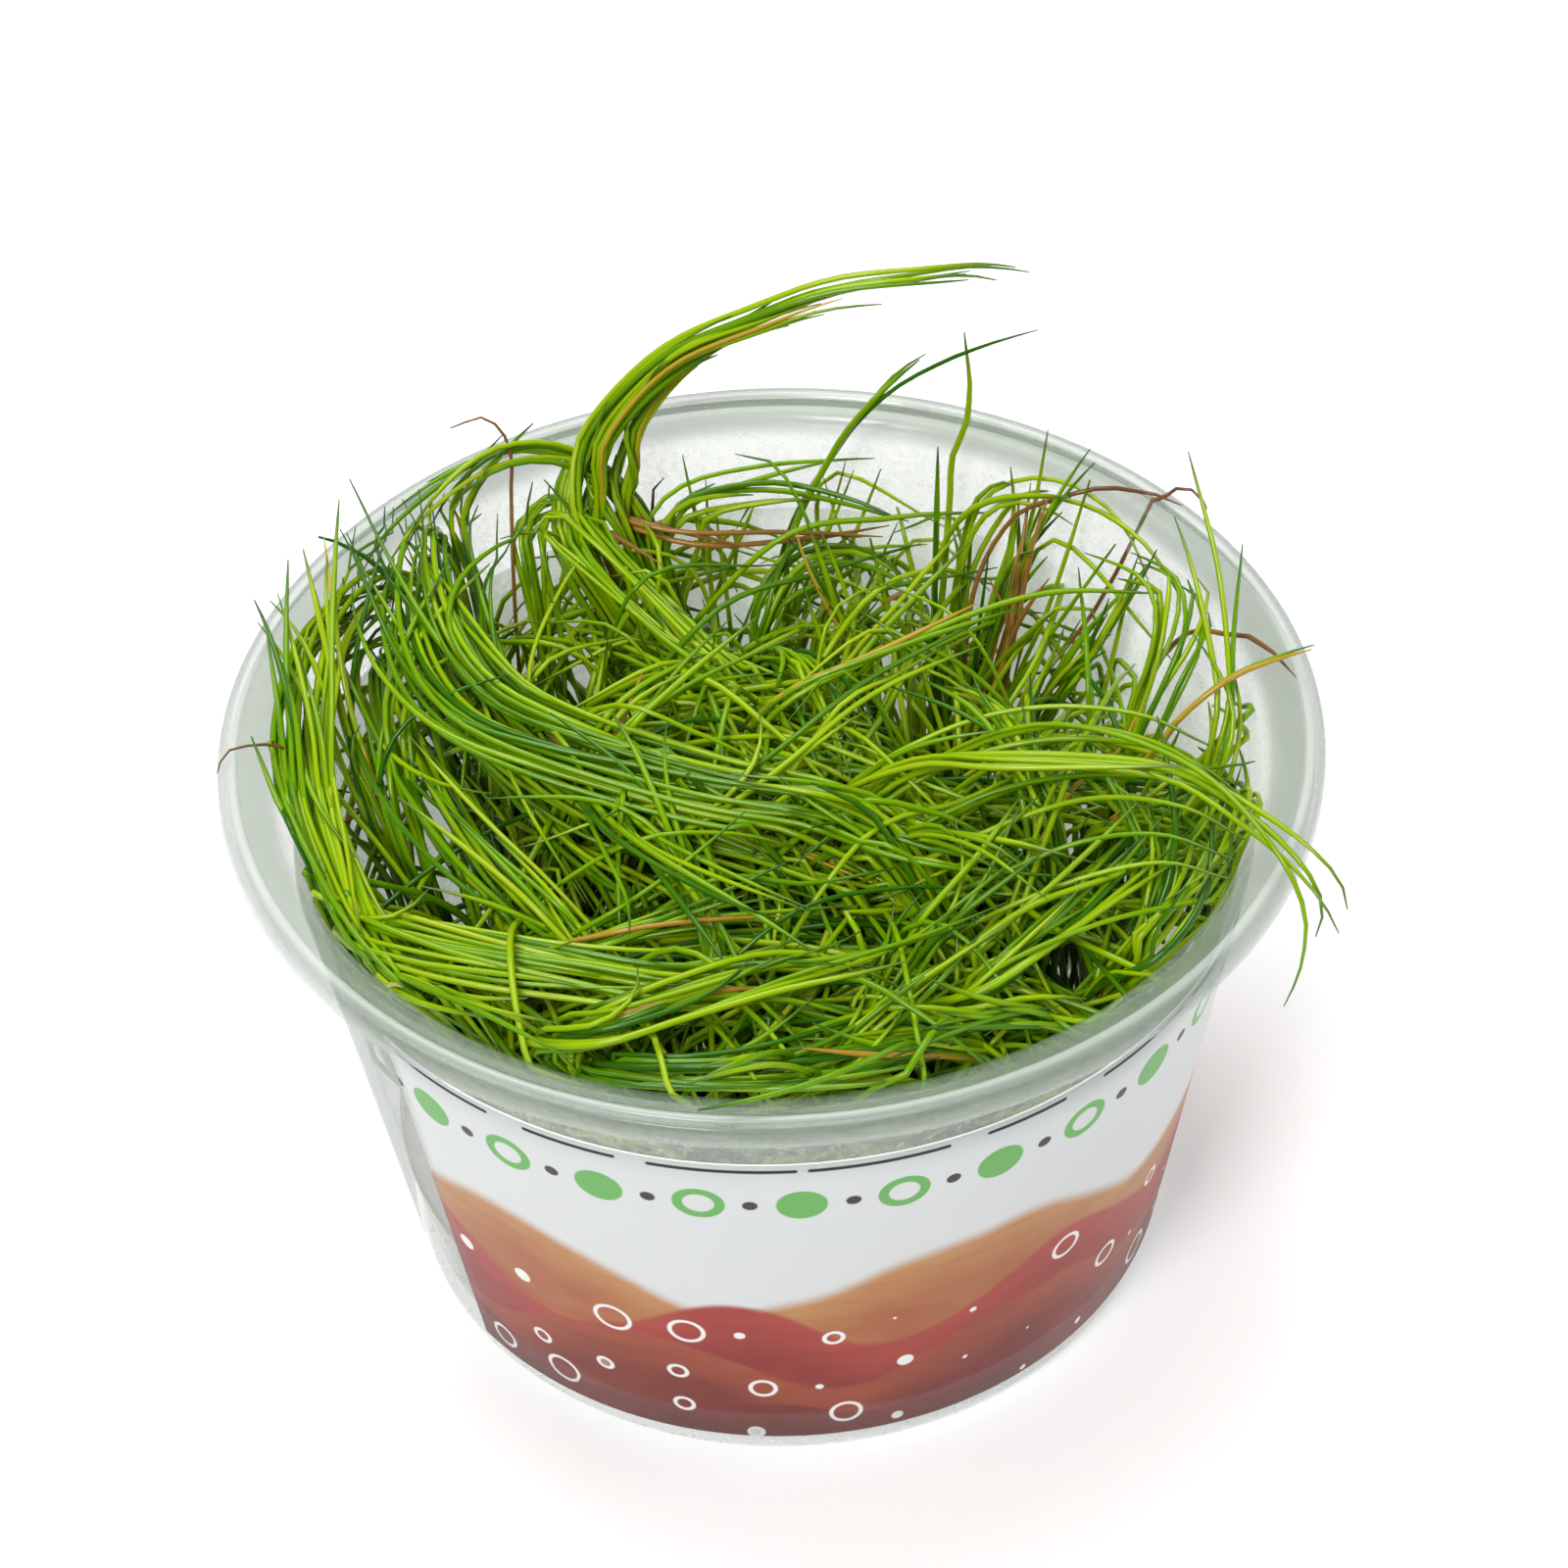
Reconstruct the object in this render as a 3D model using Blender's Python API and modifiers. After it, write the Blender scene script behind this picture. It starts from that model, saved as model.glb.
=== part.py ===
"""Dwarf hairgrass grown from tissue culture, standing in its clear plastic cup.

Metres, +Z up. The origin is the centre of the cup's flat underside, and the front of the
cup faces -Y. Lengths below are in millimetres and are scaled once, by MM.
"""

import math

import bmesh
import bpy
import numpy as np

MM = 0.001

# The cup: one thin moulding, measured at its outside
CUP_HEIGHT = 58.1
BASE_RADIUS = 35.7
NECK_RADIUS = 45.2
NECK_HEIGHT = 55.8
WALL = 0.7
FLOOR = 0.8
RIM_RADIUS = 50.0
LIP_RADIUS = 46.1
SKIRT = 0.8
SIDES = 48

# The label: a band that follows the wall, with its two ends apart at the left
LABEL_LOW = 2.7
LABEL_HIGH = 47.3
LABEL_GAP = 0.3
LABEL_THICK = 0.3
LABEL_START = 217.5
LABEL_TURN = 337.5

# The nutrient gel
GEL_TOP = 12.0
REST_GAP = 0.3

# The tufts: where each crown stands on the gel
CROWNS = {
    "tuft_back_left": (-22.0, 19.0),
    "tuft_back": (-3.0, 29.0),
    "tuft_back_right": (17.0, 26.0),
    "tuft_right": (29.0, 3.0),
    "tuft_front_right": (20.0, -21.0),
    "tuft_front": (-4.0, -29.0),
    "tuft_front_left": (-27.0, -9.0),
    "tuft_middle": (0.0, 1.0),
}
TUFT_SIDES = 16
TUFT_GAP = 0.5
LOCK_GAP = 0.4
# share of the free width that a tuft fills, from its crown to its rounded top
TUFT_LEVELS = ((0.0, 0.46), (0.20, 0.64), (0.45, 0.88), (0.72, 1.0), (0.90, 0.97), (1.0, 0.72))

# The locks: greatest half-thickness, then the way each one runs from its crown to its tip
LOCKS = {
    "tuft_back_left": [
        (2.1, [(-24, 20, 28), (-29, 24, 45), (-35, 25, 55), (-40, 16, 57.5), (-41.5, 5, 57),
               (-41, -4, 56), (-39, -12, 55), (-36, -21, 54.5), (-31, -29, 54), (-24, -35, 53.5)]),
        (2.3, [(-22, 22, 28), (-27, 30, 48), (-31.5, 29, 59), (-32, 20, 60), (-30, 12, 58),
               (-26, 5, 57), (-20, 1, 56), (-12, -2, 55), (-4, -5, 54), (4, -7, 53.5),
               (12, -12, 53), (21, -14, 52), (29, -15, 51)]),
        (1.9, [(-20, 18, 28), (-25, 24, 47), (-29, 21, 55.5), (-27, 11, 54.5), (-23, 3, 54),
               (-17, -3, 53), (-10, -6, 51.5), (-2, -9, 51), (6, -13, 50.5), (14, -17, 50)]),
        (1.7, [(-20, 22, 30), (-21, 30, 50), (-20, 33, 57), (-17, 30, 55.5), (-12, 25, 52.5),
               (-7, 19, 51), (-1, 14, 50), (5, 9, 50)]),
        (1.7, [(-26, 18, 28), (-33, 22, 48), (-36, 18, 53), (-36, 12, 52.5), (-33, 1, 52),
               (-28, -10, 52), (-22, -18, 52), (-15, -25, 53)]),
        (1.4, [(-22, 16, 30), (-26, 14, 46), (-24, 5, 51), (-17, -7, 50.5), (-11, -15, 51)]),
        (1.2, [(-24, 24, 30), (-28, 30, 48), (-29, 32, 57), (-26, 34.5, 62), (-22, 36, 65)]),
    ],
    "tuft_back": [
        (2.6, [(-6, 28, 26), (-13, 30, 42), (-17.5, 31, 53), (-17, 35, 60), (-14, 37, 65),
               (-8, 38, 71), (0, 37, 76), (7, 37, 79), (15, 37, 80), (21, 39, 79), (26, 40.5, 77)]),
        (2.1, [(-4, 30, 26), (-10, 33, 42), (-13.5, 35, 55), (-12.5, 37.5, 62), (-8.5, 38.5, 68),
               (-3, 38.5, 72.5), (4, 38, 76)]),
        (1.4, [(0, 32, 28), (2, 37, 46), (7, 39, 57), (12, 39, 65), (17, 39, 69), (22, 38, 72),
               (26, 38, 73)]),
        (1.6, [(-6, 31, 30), (-10, 35, 49), (-14, 37, 57), (-19, 37.5, 61), (-24, 36, 62.5),
               (-28, 33, 63.5), (-33, 29, 63), (-36, 26, 61)]),
        (1.7, [(-6, 29, 28), (-9, 33, 46), (-8, 37, 53), (0, 38.5, 54.5), (8, 38, 54),
               (15, 36.5, 53)]),
        (1.5, [(-3, 27, 28), (-1, 29, 44), (3, 33, 49.5), (9, 34, 50), (14, 32, 48)]),
        (1.5, [(-2, 26, 28), (0, 22, 46), (3, 16, 51.5), (5, 8, 51), (6, 1, 51)]),
    ],
    "tuft_back_right": [
        (1.5, [(17, 26, 18), (19, 27.5, 34), (24, 31, 50), (28, 34, 64)]),
        (1.5, [(18, 25, 18), (21, 25, 36), (24, 27, 48), (27, 29, 57)]),
        (1.4, [(19, 25, 18), (26, 23, 36), (32, 23, 48), (36, 24, 56)]),
        (0.9, [(15.5, 27, 18), (15.7, 28, 34), (16, 29, 50), (16, 29, 67)]),
        (1.2, [(16, 28, 20), (17, 31, 40), (20, 33, 52), (25, 34, 56.5), (31, 32, 57),
               (35, 28, 56), (37, 25, 53)]),
        (1.3, [(14, 25, 20), (10, 25, 38), (6, 27, 52), (3, 29, 59)]),
        (1.0, [(16, 29, 20), (16.5, 33, 42), (17.5, 37, 56), (20, 38, 63), (20, 38.5, 72)]),
    ],
    "tuft_right": [
        (1.5, [(32, 0, 28), (38, -4, 44), (40.5, -3, 52), (42.5, 1, 57), (42.5, 6, 61),
               (42, 11, 65.5), (41, 15, 69.5), (40, 19, 73)]),
        (1.4, [(29, 3, 30), (33, 0, 48), (37, 1, 56), (41, 2.5, 60.5), (45, 4, 62), (48, 5, 62.5)]),
        (1.4, [(28, 0, 30), (29, -5, 47), (34, -9, 53), (38, -13, 54.5), (40.5, -17, 55)]),
        (1.4, [(27, 3, 30), (23, 2, 48), (22, -2, 53), (26, -6, 54), (31, -9, 53)]),
        (1.2, [(30, 5, 30), (34, 9, 46), (38, 14, 54), (38, 20, 56.5), (33, 25, 55)]),
        (1.2, [(27, 6, 30), (24, 10, 44), (19, 15, 50), (13, 18, 52), (8, 20, 54)]),
        (1.3, [(33, 2, 28), (39, -3, 46), (42, -9, 56), (40, -16, 57.5), (36, -22, 57)]),
    ],
    "tuft_front_right": [
        (1.6, [(18, -22, 28), (14, -26, 44), (17, -29, 53), (23, -25, 55.5), (29, -19, 56),
               (35, -14, 57)]),
        (1.4, [(22, -22, 28), (28, -24, 46), (32, -26, 53.5), (37, -20, 56), (41, -12, 58)]),
        (1.5, [(18, -24, 28), (18, -31, 46), (14, -36, 53.5), (6, -39, 55.5), (-2, -41, 56)]),
        (1.2, [(20, -25, 30), (23, -30, 47), (22, -34, 54), (16, -38, 57.5), (9, -42, 59.5)]),
        (1.4, [(18, -19, 30), (15, -16, 47), (10, -12, 56), (4, -10, 58.5), (-3, -8, 59.5)]),
        (1.3, [(22, -18, 30), (25, -13, 47), (24, -6, 56), (20, 1, 58), (14, 7, 57)]),
        (1.3, [(24, -21, 28), (30, -21, 46), (33, -17, 55), (32, -9, 57), (29, -1, 57.5)]),
    ],
    "tuft_front": [
        (1.8, [(-8, -29, 28), (-16, -32, 46), (-20, -34, 54), (-15, -36, 57), (-8, -34, 58),
               (0, -31, 58), (9, -29, 57.5), (17, -26, 57)]),
        (1.5, [(-6, -30, 28), (-12, -35, 46), (-16, -38, 53.5), (-11, -40, 55), (-4, -41, 55.5),
               (3, -40.5, 55.5), (10, -38, 55), (18, -34, 54)]),
        (1.1, [(-2, -31, 28), (1, -36, 46), (2, -40, 55), (-1, -43.5, 59.5), (-5, -46, 61),
               (-9, -47.5, 61)]),
        (1.4, [(-4, -26, 28), (-5, -22, 46), (-8, -14, 54), (-13, -6, 57.5), (-19, 1, 59)]),
        (1.3, [(0, -29, 28), (6, -29, 45), (12, -25, 54), (18, -19, 57), (23, -11, 58)]),
        (1.3, [(-6, -27, 28), (-12, -24, 46), (-19, -20, 54.5), (-26, -13, 57), (-32, -5, 58)]),
        (1.3, [(-2, -31, 28), (0, -36, 46), (5, -37, 54), (12, -34, 58), (19, -29, 59)]),
    ],
    "tuft_front_left": [
        (1.9, [(-28, -10, 28), (-34, -14, 46), (-36, -20, 54), (-28, -24, 55), (-18, -27, 55),
               (-10, -29, 54.5), (-1, -29, 54), (7, -28, 53.5)]),
        (1.4, [(-30, -9, 28), (-37, -9, 46), (-40.5, -6, 54.5), (-42, 1, 59), (-43.5, 8, 61.5),
               (-45, 16, 63)]),
        (1.3, [(-29, -6, 28), (-35, -1, 46), (-39, 6, 54), (-40.5, 14, 60.5), (-41, 23, 63)]),
        (1.4, [(-28, -12, 28), (-32, -19, 46), (-33, -27, 54), (-27, -33, 57), (-19, -38, 58)]),
        (1.3, [(-26, -12, 28), (-22, -18, 46), (-16, -22, 54), (-8, -20, 56), (0, -17, 57)]),
        (1.2, [(-24, -8, 28), (-20, -5, 46), (-14, 2, 55), (-8, 9, 57), (-2, 15, 57)]),
        (1.2, [(-29, -7, 28), (-33, -2, 46), (-34, 6, 56), (-31, 14, 59.5), (-26, 21, 61)]),
    ],
    "tuft_middle": [
        (2.0, [(2, -1, 28), (4, -3, 46), (9, -5, 55), (14, -6, 58.5), (19, -8, 60), (27, -10, 61),
               (35, -13, 62), (40, -18, 62.3), (44.3, -22.5, 61.3), (47, -25.5, 59),
               (48, -26.5, 56.5), (48, -26.5, 54)]),
        (1.4, [(4, 1, 28), (9, 0, 46), (16, -2, 55), (24, -4, 60), (32, -8, 63), (39, -14, 64),
               (43.5, -21, 62.5), (46, -25, 59), (46, -27.5, 55), (43.8, -29, 50)]),
        (1.3, [(-1, 4, 28), (-3, 9, 44), (1, 11.5, 51), (11, 14, 55), (19, 16, 57), (27, 17, 58),
               (37, 16, 58)]),
        (1.3, [(-3, -1, 28), (-8, -4, 46), (-7, -8, 53.5), (1, -3, 57), (8, 4, 58.5), (14, 10, 58),
               (20, 16, 57)]),
        (1.3, [(-4, 2, 28), (-9, 2, 46), (-15, -4, 54), (-12, -13, 57), (-4, -21, 58), (3, -27, 59)]),
        (1.3, [(1, 4, 28), (3, 9, 44), (8, 17, 51), (14, 22, 55), (20, 26, 58)]),
        (1.3, [(3, -2, 28), (7, -6, 46), (13, -11, 55), (19, -17, 58.5), (25, -24, 59)]),
    ],
}


def wall_outside(height):
    """Radius of the outside of the wall at a height."""
    return BASE_RADIUS + (NECK_RADIUS - BASE_RADIUS) * height / NECK_HEIGHT


def wall_inside(height):
    """Radius of the inside of the wall, or of the lip above the neck."""
    return wall_outside(min(height, NECK_HEIGHT)) - WALL if height < 57 else LIP_RADIUS - 0.1


def sheaf_top(x, y):
    """How high the sheaves stand at a place: lowest at the back right, where the wall is bare."""
    along = max(0.0, (x * 0.62 + y * 0.78 - 4.0) / 40.0)
    return 47.0 - 11.0 * min(1.0, along) ** 1.2


# Scene, collections and materials
for old in list(bpy.data.objects):
    bpy.data.objects.remove(old, do_unlink=True)

scene = bpy.context.scene
scene.unit_settings.system = "METRIC"
scene.unit_settings.scale_length = 1.0

parts = bpy.data.collections.new("dwarf_hairgrass_cup")
scene.collection.children.link(parts)
guides = bpy.data.collections.new("guides")
guides.hide_render = True
scene.collection.children.link(guides)


def material(name, color, roughness, transmission=0.0, ior=1.45, alpha=1.0):
    made = bpy.data.materials.new(name)
    made.use_nodes = True
    shader = made.node_tree.nodes["Principled BSDF"]
    shader.inputs["Base Color"].default_value = (*color, 1.0)
    shader.inputs["Roughness"].default_value = roughness
    shader.inputs["IOR"].default_value = ior
    shader.inputs["Transmission Weight"].default_value = transmission
    shader.inputs["Alpha"].default_value = alpha
    return made


CUP_PLASTIC = material("cup_plastic", (0.80, 0.83, 0.81), 0.28, 0.75, 1.49)
LABEL_FILM = material("label_film", (0.84, 0.83, 0.80), 0.35)
GEL_CLEAR = material("nutrient_gel", (0.86, 0.84, 0.70), 0.10, 0.80, 1.34)
BLADE_GREENS = {
    name: material(name.replace("tuft", "blades"), color, 0.38)
    for name, color in zip(
        CROWNS,
        (
            (0.17, 0.33, 0.03), (0.20, 0.37, 0.04), (0.24, 0.36, 0.05), (0.22, 0.39, 0.05),
            (0.19, 0.35, 0.03), (0.16, 0.31, 0.03), (0.18, 0.34, 0.03), (0.21, 0.38, 0.04),
        ),
    )
}


def keep(name, mesh, surface, smooth=True):
    """Put a finished mesh in the parts collection as one named object."""
    cleaned = bmesh.new()
    cleaned.from_mesh(mesh)
    bmesh.ops.remove_doubles(cleaned, verts=cleaned.verts, dist=1e-6)
    bmesh.ops.dissolve_degenerate(cleaned, dist=1e-6, edges=cleaned.edges)
    bmesh.ops.recalc_face_normals(cleaned, faces=cleaned.faces)
    for face in cleaned.faces:
        face.smooth = smooth
    cleaned.to_mesh(mesh)
    cleaned.free()
    mesh.materials.clear()
    mesh.materials.append(surface)
    mesh.name = name
    made = bpy.data.objects.new(name, mesh)
    parts.objects.link(made)
    return made


def baked(obj):
    """The mesh of an object with its modifiers applied; the object itself goes."""
    bpy.context.view_layer.update()
    graph = bpy.context.evaluated_depsgraph_get()
    mesh = bpy.data.meshes.new_from_object(obj.evaluated_get(graph))
    bpy.data.objects.remove(obj, do_unlink=True)
    return mesh


def turned(name, outline, surface):
    """A round piece turned about the Z axis from an outline of (radius, height) points."""
    mesh = bpy.data.meshes.new(name)
    points = [(r * MM, 0.0, z * MM) for r, z in outline]
    mesh.from_pydata(points, [(i, i + 1) for i in range(len(points) - 1)], [])
    profile = bpy.data.objects.new(name + "_outline", mesh)
    guides.objects.link(profile)
    screw = profile.modifiers.new("turn", "SCREW")
    screw.steps = SIDES
    screw.render_steps = SIDES
    screw.use_merge_vertices = True
    screw.merge_threshold = 0.00005
    screw.use_smooth_shade = True
    return keep(name, baked(profile), surface)


# Cup: floor, wall, lip, flat rim with its outer bead, and the skirt under it
inner_foot = wall_outside(2.0) - WALL
turned(
    "cup",
    [
        (0.0, FLOOR),
        (inner_foot - 1.4, FLOOR),
        (inner_foot - 0.1, 1.9),
        (wall_inside(55.5), 55.5),
        (45.4, 57.3),
        (LIP_RADIUS + 0.3, 57.9),
        (48.0, 57.8),
        (48.4, CUP_HEIGHT),
        (49.5, CUP_HEIGHT),
        (RIM_RADIUS, 57.6),
        (RIM_RADIUS, 55.7),
        (RIM_RADIUS - SKIRT, 55.7),
        (RIM_RADIUS - SKIRT - 0.2, 56.9),
        (46.6, 56.9),
        (NECK_RADIUS, NECK_HEIGHT),
        (wall_outside(1.0), 1.0),
        (BASE_RADIUS - 1.0, 0.0),
        (0.0, 0.0),
    ],
    CUP_PLASTIC,
)

# Gel, with the slight rise at the wall where it wetted the plastic
turned(
    "gel",
    [
        (0.0, GEL_TOP),
        (wall_inside(GEL_TOP) - 3.0, GEL_TOP),
        (wall_inside(GEL_TOP + 0.8) - REST_GAP, GEL_TOP + 0.8),
        (inner_foot - 0.1 - REST_GAP, 2.1),
        (inner_foot - 1.5 - REST_GAP, FLOOR + REST_GAP),
        (0.0, FLOOR + REST_GAP),
    ],
    GEL_CLEAR,
)

# Label: its cross-section, spun along the wall for most of a turn
label_mesh = bmesh.new()
low = wall_outside(LABEL_LOW) + LABEL_GAP
high = wall_outside(LABEL_HIGH) + LABEL_GAP
start = math.radians(LABEL_START)
section = [
    (low, LABEL_LOW),
    (low + LABEL_THICK, LABEL_LOW),
    (high + LABEL_THICK, LABEL_HIGH),
    (high, LABEL_HIGH),
]
corners = [
    label_mesh.verts.new((r * math.cos(start) * MM, r * math.sin(start) * MM, z * MM))
    for r, z in section
]
edge_face = label_mesh.faces.new(corners)
bmesh.ops.spin(
    label_mesh,
    geom=[edge_face, *edge_face.edges, *edge_face.verts],
    cent=(0.0, 0.0, 0.0),
    axis=(0.0, 0.0, 1.0),
    angle=math.radians(LABEL_TURN),
    steps=round(SIDES * LABEL_TURN / 360.0),
    use_merge=False,
    use_duplicate=False,
)
label_data = bpy.data.meshes.new("label")
label_mesh.to_mesh(label_data)
label_mesh.free()
keep("label", label_data, LABEL_FILM)


# Locks: smooth paths, then eased apart so that no two tufts touch
def smooth_path(points, count):
    """Even points along a smooth curve through the given ones."""
    given = np.array(points, float)
    ends = np.vstack([2 * given[0] - given[1], given, 2 * given[-1] - given[-2]])
    fine = []
    for i in range(1, len(ends) - 2):
        a, b, c, d = ends[i - 1 : i + 3]
        for t in np.linspace(0, 1, 12, endpoint=False):
            fine.append(
                0.5 * (2 * b + (c - a) * t + (2 * a - 5 * b + 4 * c - d) * t * t
                       + (3 * b - a - 3 * c + d) * t**3)
            )
    fine.append(given[-1])
    fine = np.array(fine)
    run = np.concatenate([[0], np.cumsum(np.linalg.norm(np.diff(fine, axis=0), axis=1))])
    even = np.linspace(0, run[-1], count)
    return np.stack([np.interp(even, run, fine[:, k]) for k in range(3)], axis=1)


def lock_radii(thick, count):
    """Half-thickness along a lock: full a third of the way up, and fine at its tip."""
    s = np.linspace(0, 1, count)
    rise = 0.7 + 0.3 * np.clip(s / 0.35, 0, 1)
    fall = np.clip((1 - s) / 0.6, 0, 1) ** 0.75
    return np.maximum(thick * rise * fall, 0.32)


crown_names = list(CROWNS)
crown_at = np.array([CROWNS[name] for name in crown_names])
owners, paths, radii = [], [], []
for number, name in enumerate(crown_names):
    for thick, points in LOCKS[name]:
        length = np.linalg.norm(np.diff(np.array(points, float), axis=0), axis=1).sum()
        count = int(np.clip(round(length / 7.5), 5, 14)) + 1
        owners.append(number)
        paths.append(smooth_path(points, count))
        radii.append(lock_radii(thick, count))


def ease_apart(rounds=160):
    """Push locks of different tufts off each other, off the sheaves and off the cup."""
    sizes = [len(path) for path in paths]
    first = np.concatenate([[0], np.cumsum(sizes)])
    points = np.vstack(paths)
    drawn = points.copy()
    thick = np.concatenate(radii)
    rows, weights, lock_of = [], [], []
    for k, size in enumerate(sizes):
        for i in range(size - 1):
            for t in (0.0, 0.25, 0.5, 0.75):
                rows.append(first[k] + i)
                weights.append(t)
                lock_of.append(k)
        rows.append(first[k] + size - 2)
        weights.append(1.0)
        lock_of.append(k)
    rows = np.array(rows)
    weights = np.array(weights)
    owner = np.array(owners)[np.array(lock_of)]
    width = thick[rows] * (1 - weights) + thick[rows + 1] * weights
    held = np.zeros(len(points), bool)
    for k in range(len(sizes)):
        held[first[k]] = True
    inner = np.ones(len(points), bool)
    inner[first[:-1]] = False
    inner[first[1:] - 1] = False
    ids = np.where(inner)[0]
    apart = owner[:, None] != owner[None, :]
    reach = width[:, None] + width[None, :] + LOCK_GAP + 0.15
    for turn in range(rounds):
        at = points[rows] * (1 - weights)[:, None] + points[rows + 1] * weights[:, None]
        push = np.zeros_like(at)
        share = np.zeros(len(at))
        gap = at[:, None, :] - at[None, :, :]
        far = np.sqrt((gap**2).sum(axis=2)) + 1e-6
        deep = np.where(apart, reach - far, 0.0)
        hits = deep > 0
        push += np.einsum("ij,ijk->ik", np.where(hits, deep * 0.5 / far, 0.0), gap)
        share += hits.sum(axis=1)
        push /= np.maximum(share, 1)[:, None]
        for i in np.where(at[:, 2] < 62)[0]:
            x, y, z = at[i]
            spread = crown_at - (x, y)
            away = (spread**2).sum(axis=1)
            own = away[owner[i]]
            for j in np.where(np.arange(len(away)) != owner[i])[0]:
                between = np.linalg.norm(crown_at[j] - crown_at[owner[i]])
                inside = (away[j] - own) / (2 * between)
                if inside > width[i] + TUFT_GAP:
                    continue
                lift = sheaf_top(x, y) + width[i] + 0.7 - z
                if lift > 0 and z > 30:
                    push[i, 2] += min(lift, 0.6)
            r = math.hypot(x, y)
            rim_clear = z - width[i] > CUP_HEIGHT + 0.4
            if r < 47.5 and not rim_clear:
                limit = wall_inside(z) - width[i] - 0.5
                if r > limit:
                    push[i, :2] -= (r - limit) * np.array((x, y)) / r
            elif r >= 47.5 and not rim_clear and r - width[i] < RIM_RADIUS + 0.5:
                out = RIM_RADIUS + 0.5 - (r - width[i])
                up = CUP_HEIGHT + 0.5 - (z - width[i])
                if up < out:
                    push[i, 2] += up
                else:
                    push[i, :2] += out * np.array((x, y)) / r
        move = np.zeros_like(points)
        total = np.zeros(len(points))
        np.add.at(move, rows, push * (1 - weights)[:, None])
        np.add.at(total, rows, (1 - weights) * (np.abs(push).sum(axis=1) > 0))
        np.add.at(move, rows + 1, push * weights[:, None])
        np.add.at(total, rows + 1, weights * (np.abs(push).sum(axis=1) > 0))
        move /= np.maximum(total, 0.5)[:, None]
        size_of = np.linalg.norm(move, axis=1)
        move *= (np.minimum(size_of, 0.7) / np.maximum(size_of, 1e-9))[:, None]
        move[held] = 0
        points += move
        if turn < rounds - 50:
            moved = points - drawn
            calm = (moved[ids - 1] + moved[ids + 1]) / 2 - moved[ids]
            points[ids] += 0.15 * calm
    at = points[rows] * (1 - weights)[:, None] + points[rows + 1] * weights[:, None]
    far = np.sqrt(((at[:, None, :] - at[None, :, :]) ** 2).sum(axis=2))
    nearest = np.where(apart, far - width[:, None] - width[None, :], 9.0).min()
    print("least gap between locks of different tufts, mm:", round(float(nearest), 3))
    return [points[first[k] : first[k + 1]] for k in range(len(sizes))]


paths = ease_apart()


def lock_mesh(name, path, thick):
    """One lock: a curve with a round bevel that tapers to its tip."""
    data = bpy.data.curves.new(name, "CURVE")
    data.dimensions = "3D"
    data.bevel_depth = MM
    data.bevel_resolution = 1
    data.use_fill_caps = True
    spline = data.splines.new("POLY")
    spline.points.add(len(path) - 1)
    for point, place, radius in zip(spline.points, path, thick):
        point.co = (*(place * MM), 1.0)
        point.radius = radius
    drawn = bpy.data.objects.new(name, data)
    guides.objects.link(drawn)
    mesh = baked(drawn)
    bpy.data.curves.remove(data)
    return mesh


def sheaf_mesh(name, number):
    """The sheaf of a tuft: rings that fill its share of the cup, narrow at the crown."""
    noise = np.random.default_rng(40 + number)
    cx, cy = crown_at[number]
    body = bmesh.new()
    rings = []
    ribs = noise.uniform(0.93, 1.0, TUFT_SIDES)
    foot = GEL_TOP + REST_GAP
    top = sheaf_top(cx, cy) + 2.0
    for part_up, fill in TUFT_LEVELS:
        ring = []
        for k in range(TUFT_SIDES):
            turn = 2 * math.pi * k / TUFT_SIDES
            ux, uy = math.cos(turn), math.sin(turn)
            height = foot + (top - foot) * part_up
            free = 60.0
            for j, (nx, ny) in enumerate(crown_at):
                if j == number:
                    continue
                between = math.hypot(nx - cx, ny - cy)
                toward = ((nx - cx) * ux + (ny - cy) * uy) / between
                if toward > 1e-6:
                    free = min(free, (between / 2 - TUFT_GAP / 2) / toward)
            limit = wall_inside(height) * math.cos(math.pi / SIDES) - TUFT_GAP
            along = cx * ux + cy * uy
            free = min(free, -along + math.sqrt(along**2 - cx**2 - cy**2 + limit**2))
            width = free * fill * ribs[k] * noise.uniform(0.97, 1.0)
            x, y = cx + ux * width, cy + uy * width
            if part_up > 0.7:
                height = min(height, sheaf_top(x, y) + 2.0 * (part_up - 0.9) - 0.3)
            ring.append(body.verts.new((x * MM, y * MM, height * MM)))
        rings.append(ring)
    for lower, upper in zip(rings, rings[1:]):
        for k in range(TUFT_SIDES):
            n = (k + 1) % TUFT_SIDES
            body.faces.new((lower[k], lower[n], upper[n], upper[k]))
    body.faces.new(rings[0][::-1])
    peak = body.verts.new((cx * MM, cy * MM, (sheaf_top(cx, cy) + 0.6) * MM))
    for k in range(TUFT_SIDES):
        body.faces.new((rings[-1][k], rings[-1][(k + 1) % TUFT_SIDES], peak))
    bmesh.ops.triangulate(body, faces=[f for f in body.faces if len(f.verts) > 4])
    mesh = bpy.data.meshes.new(name)
    body.to_mesh(mesh)
    body.free()
    return mesh


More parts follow.
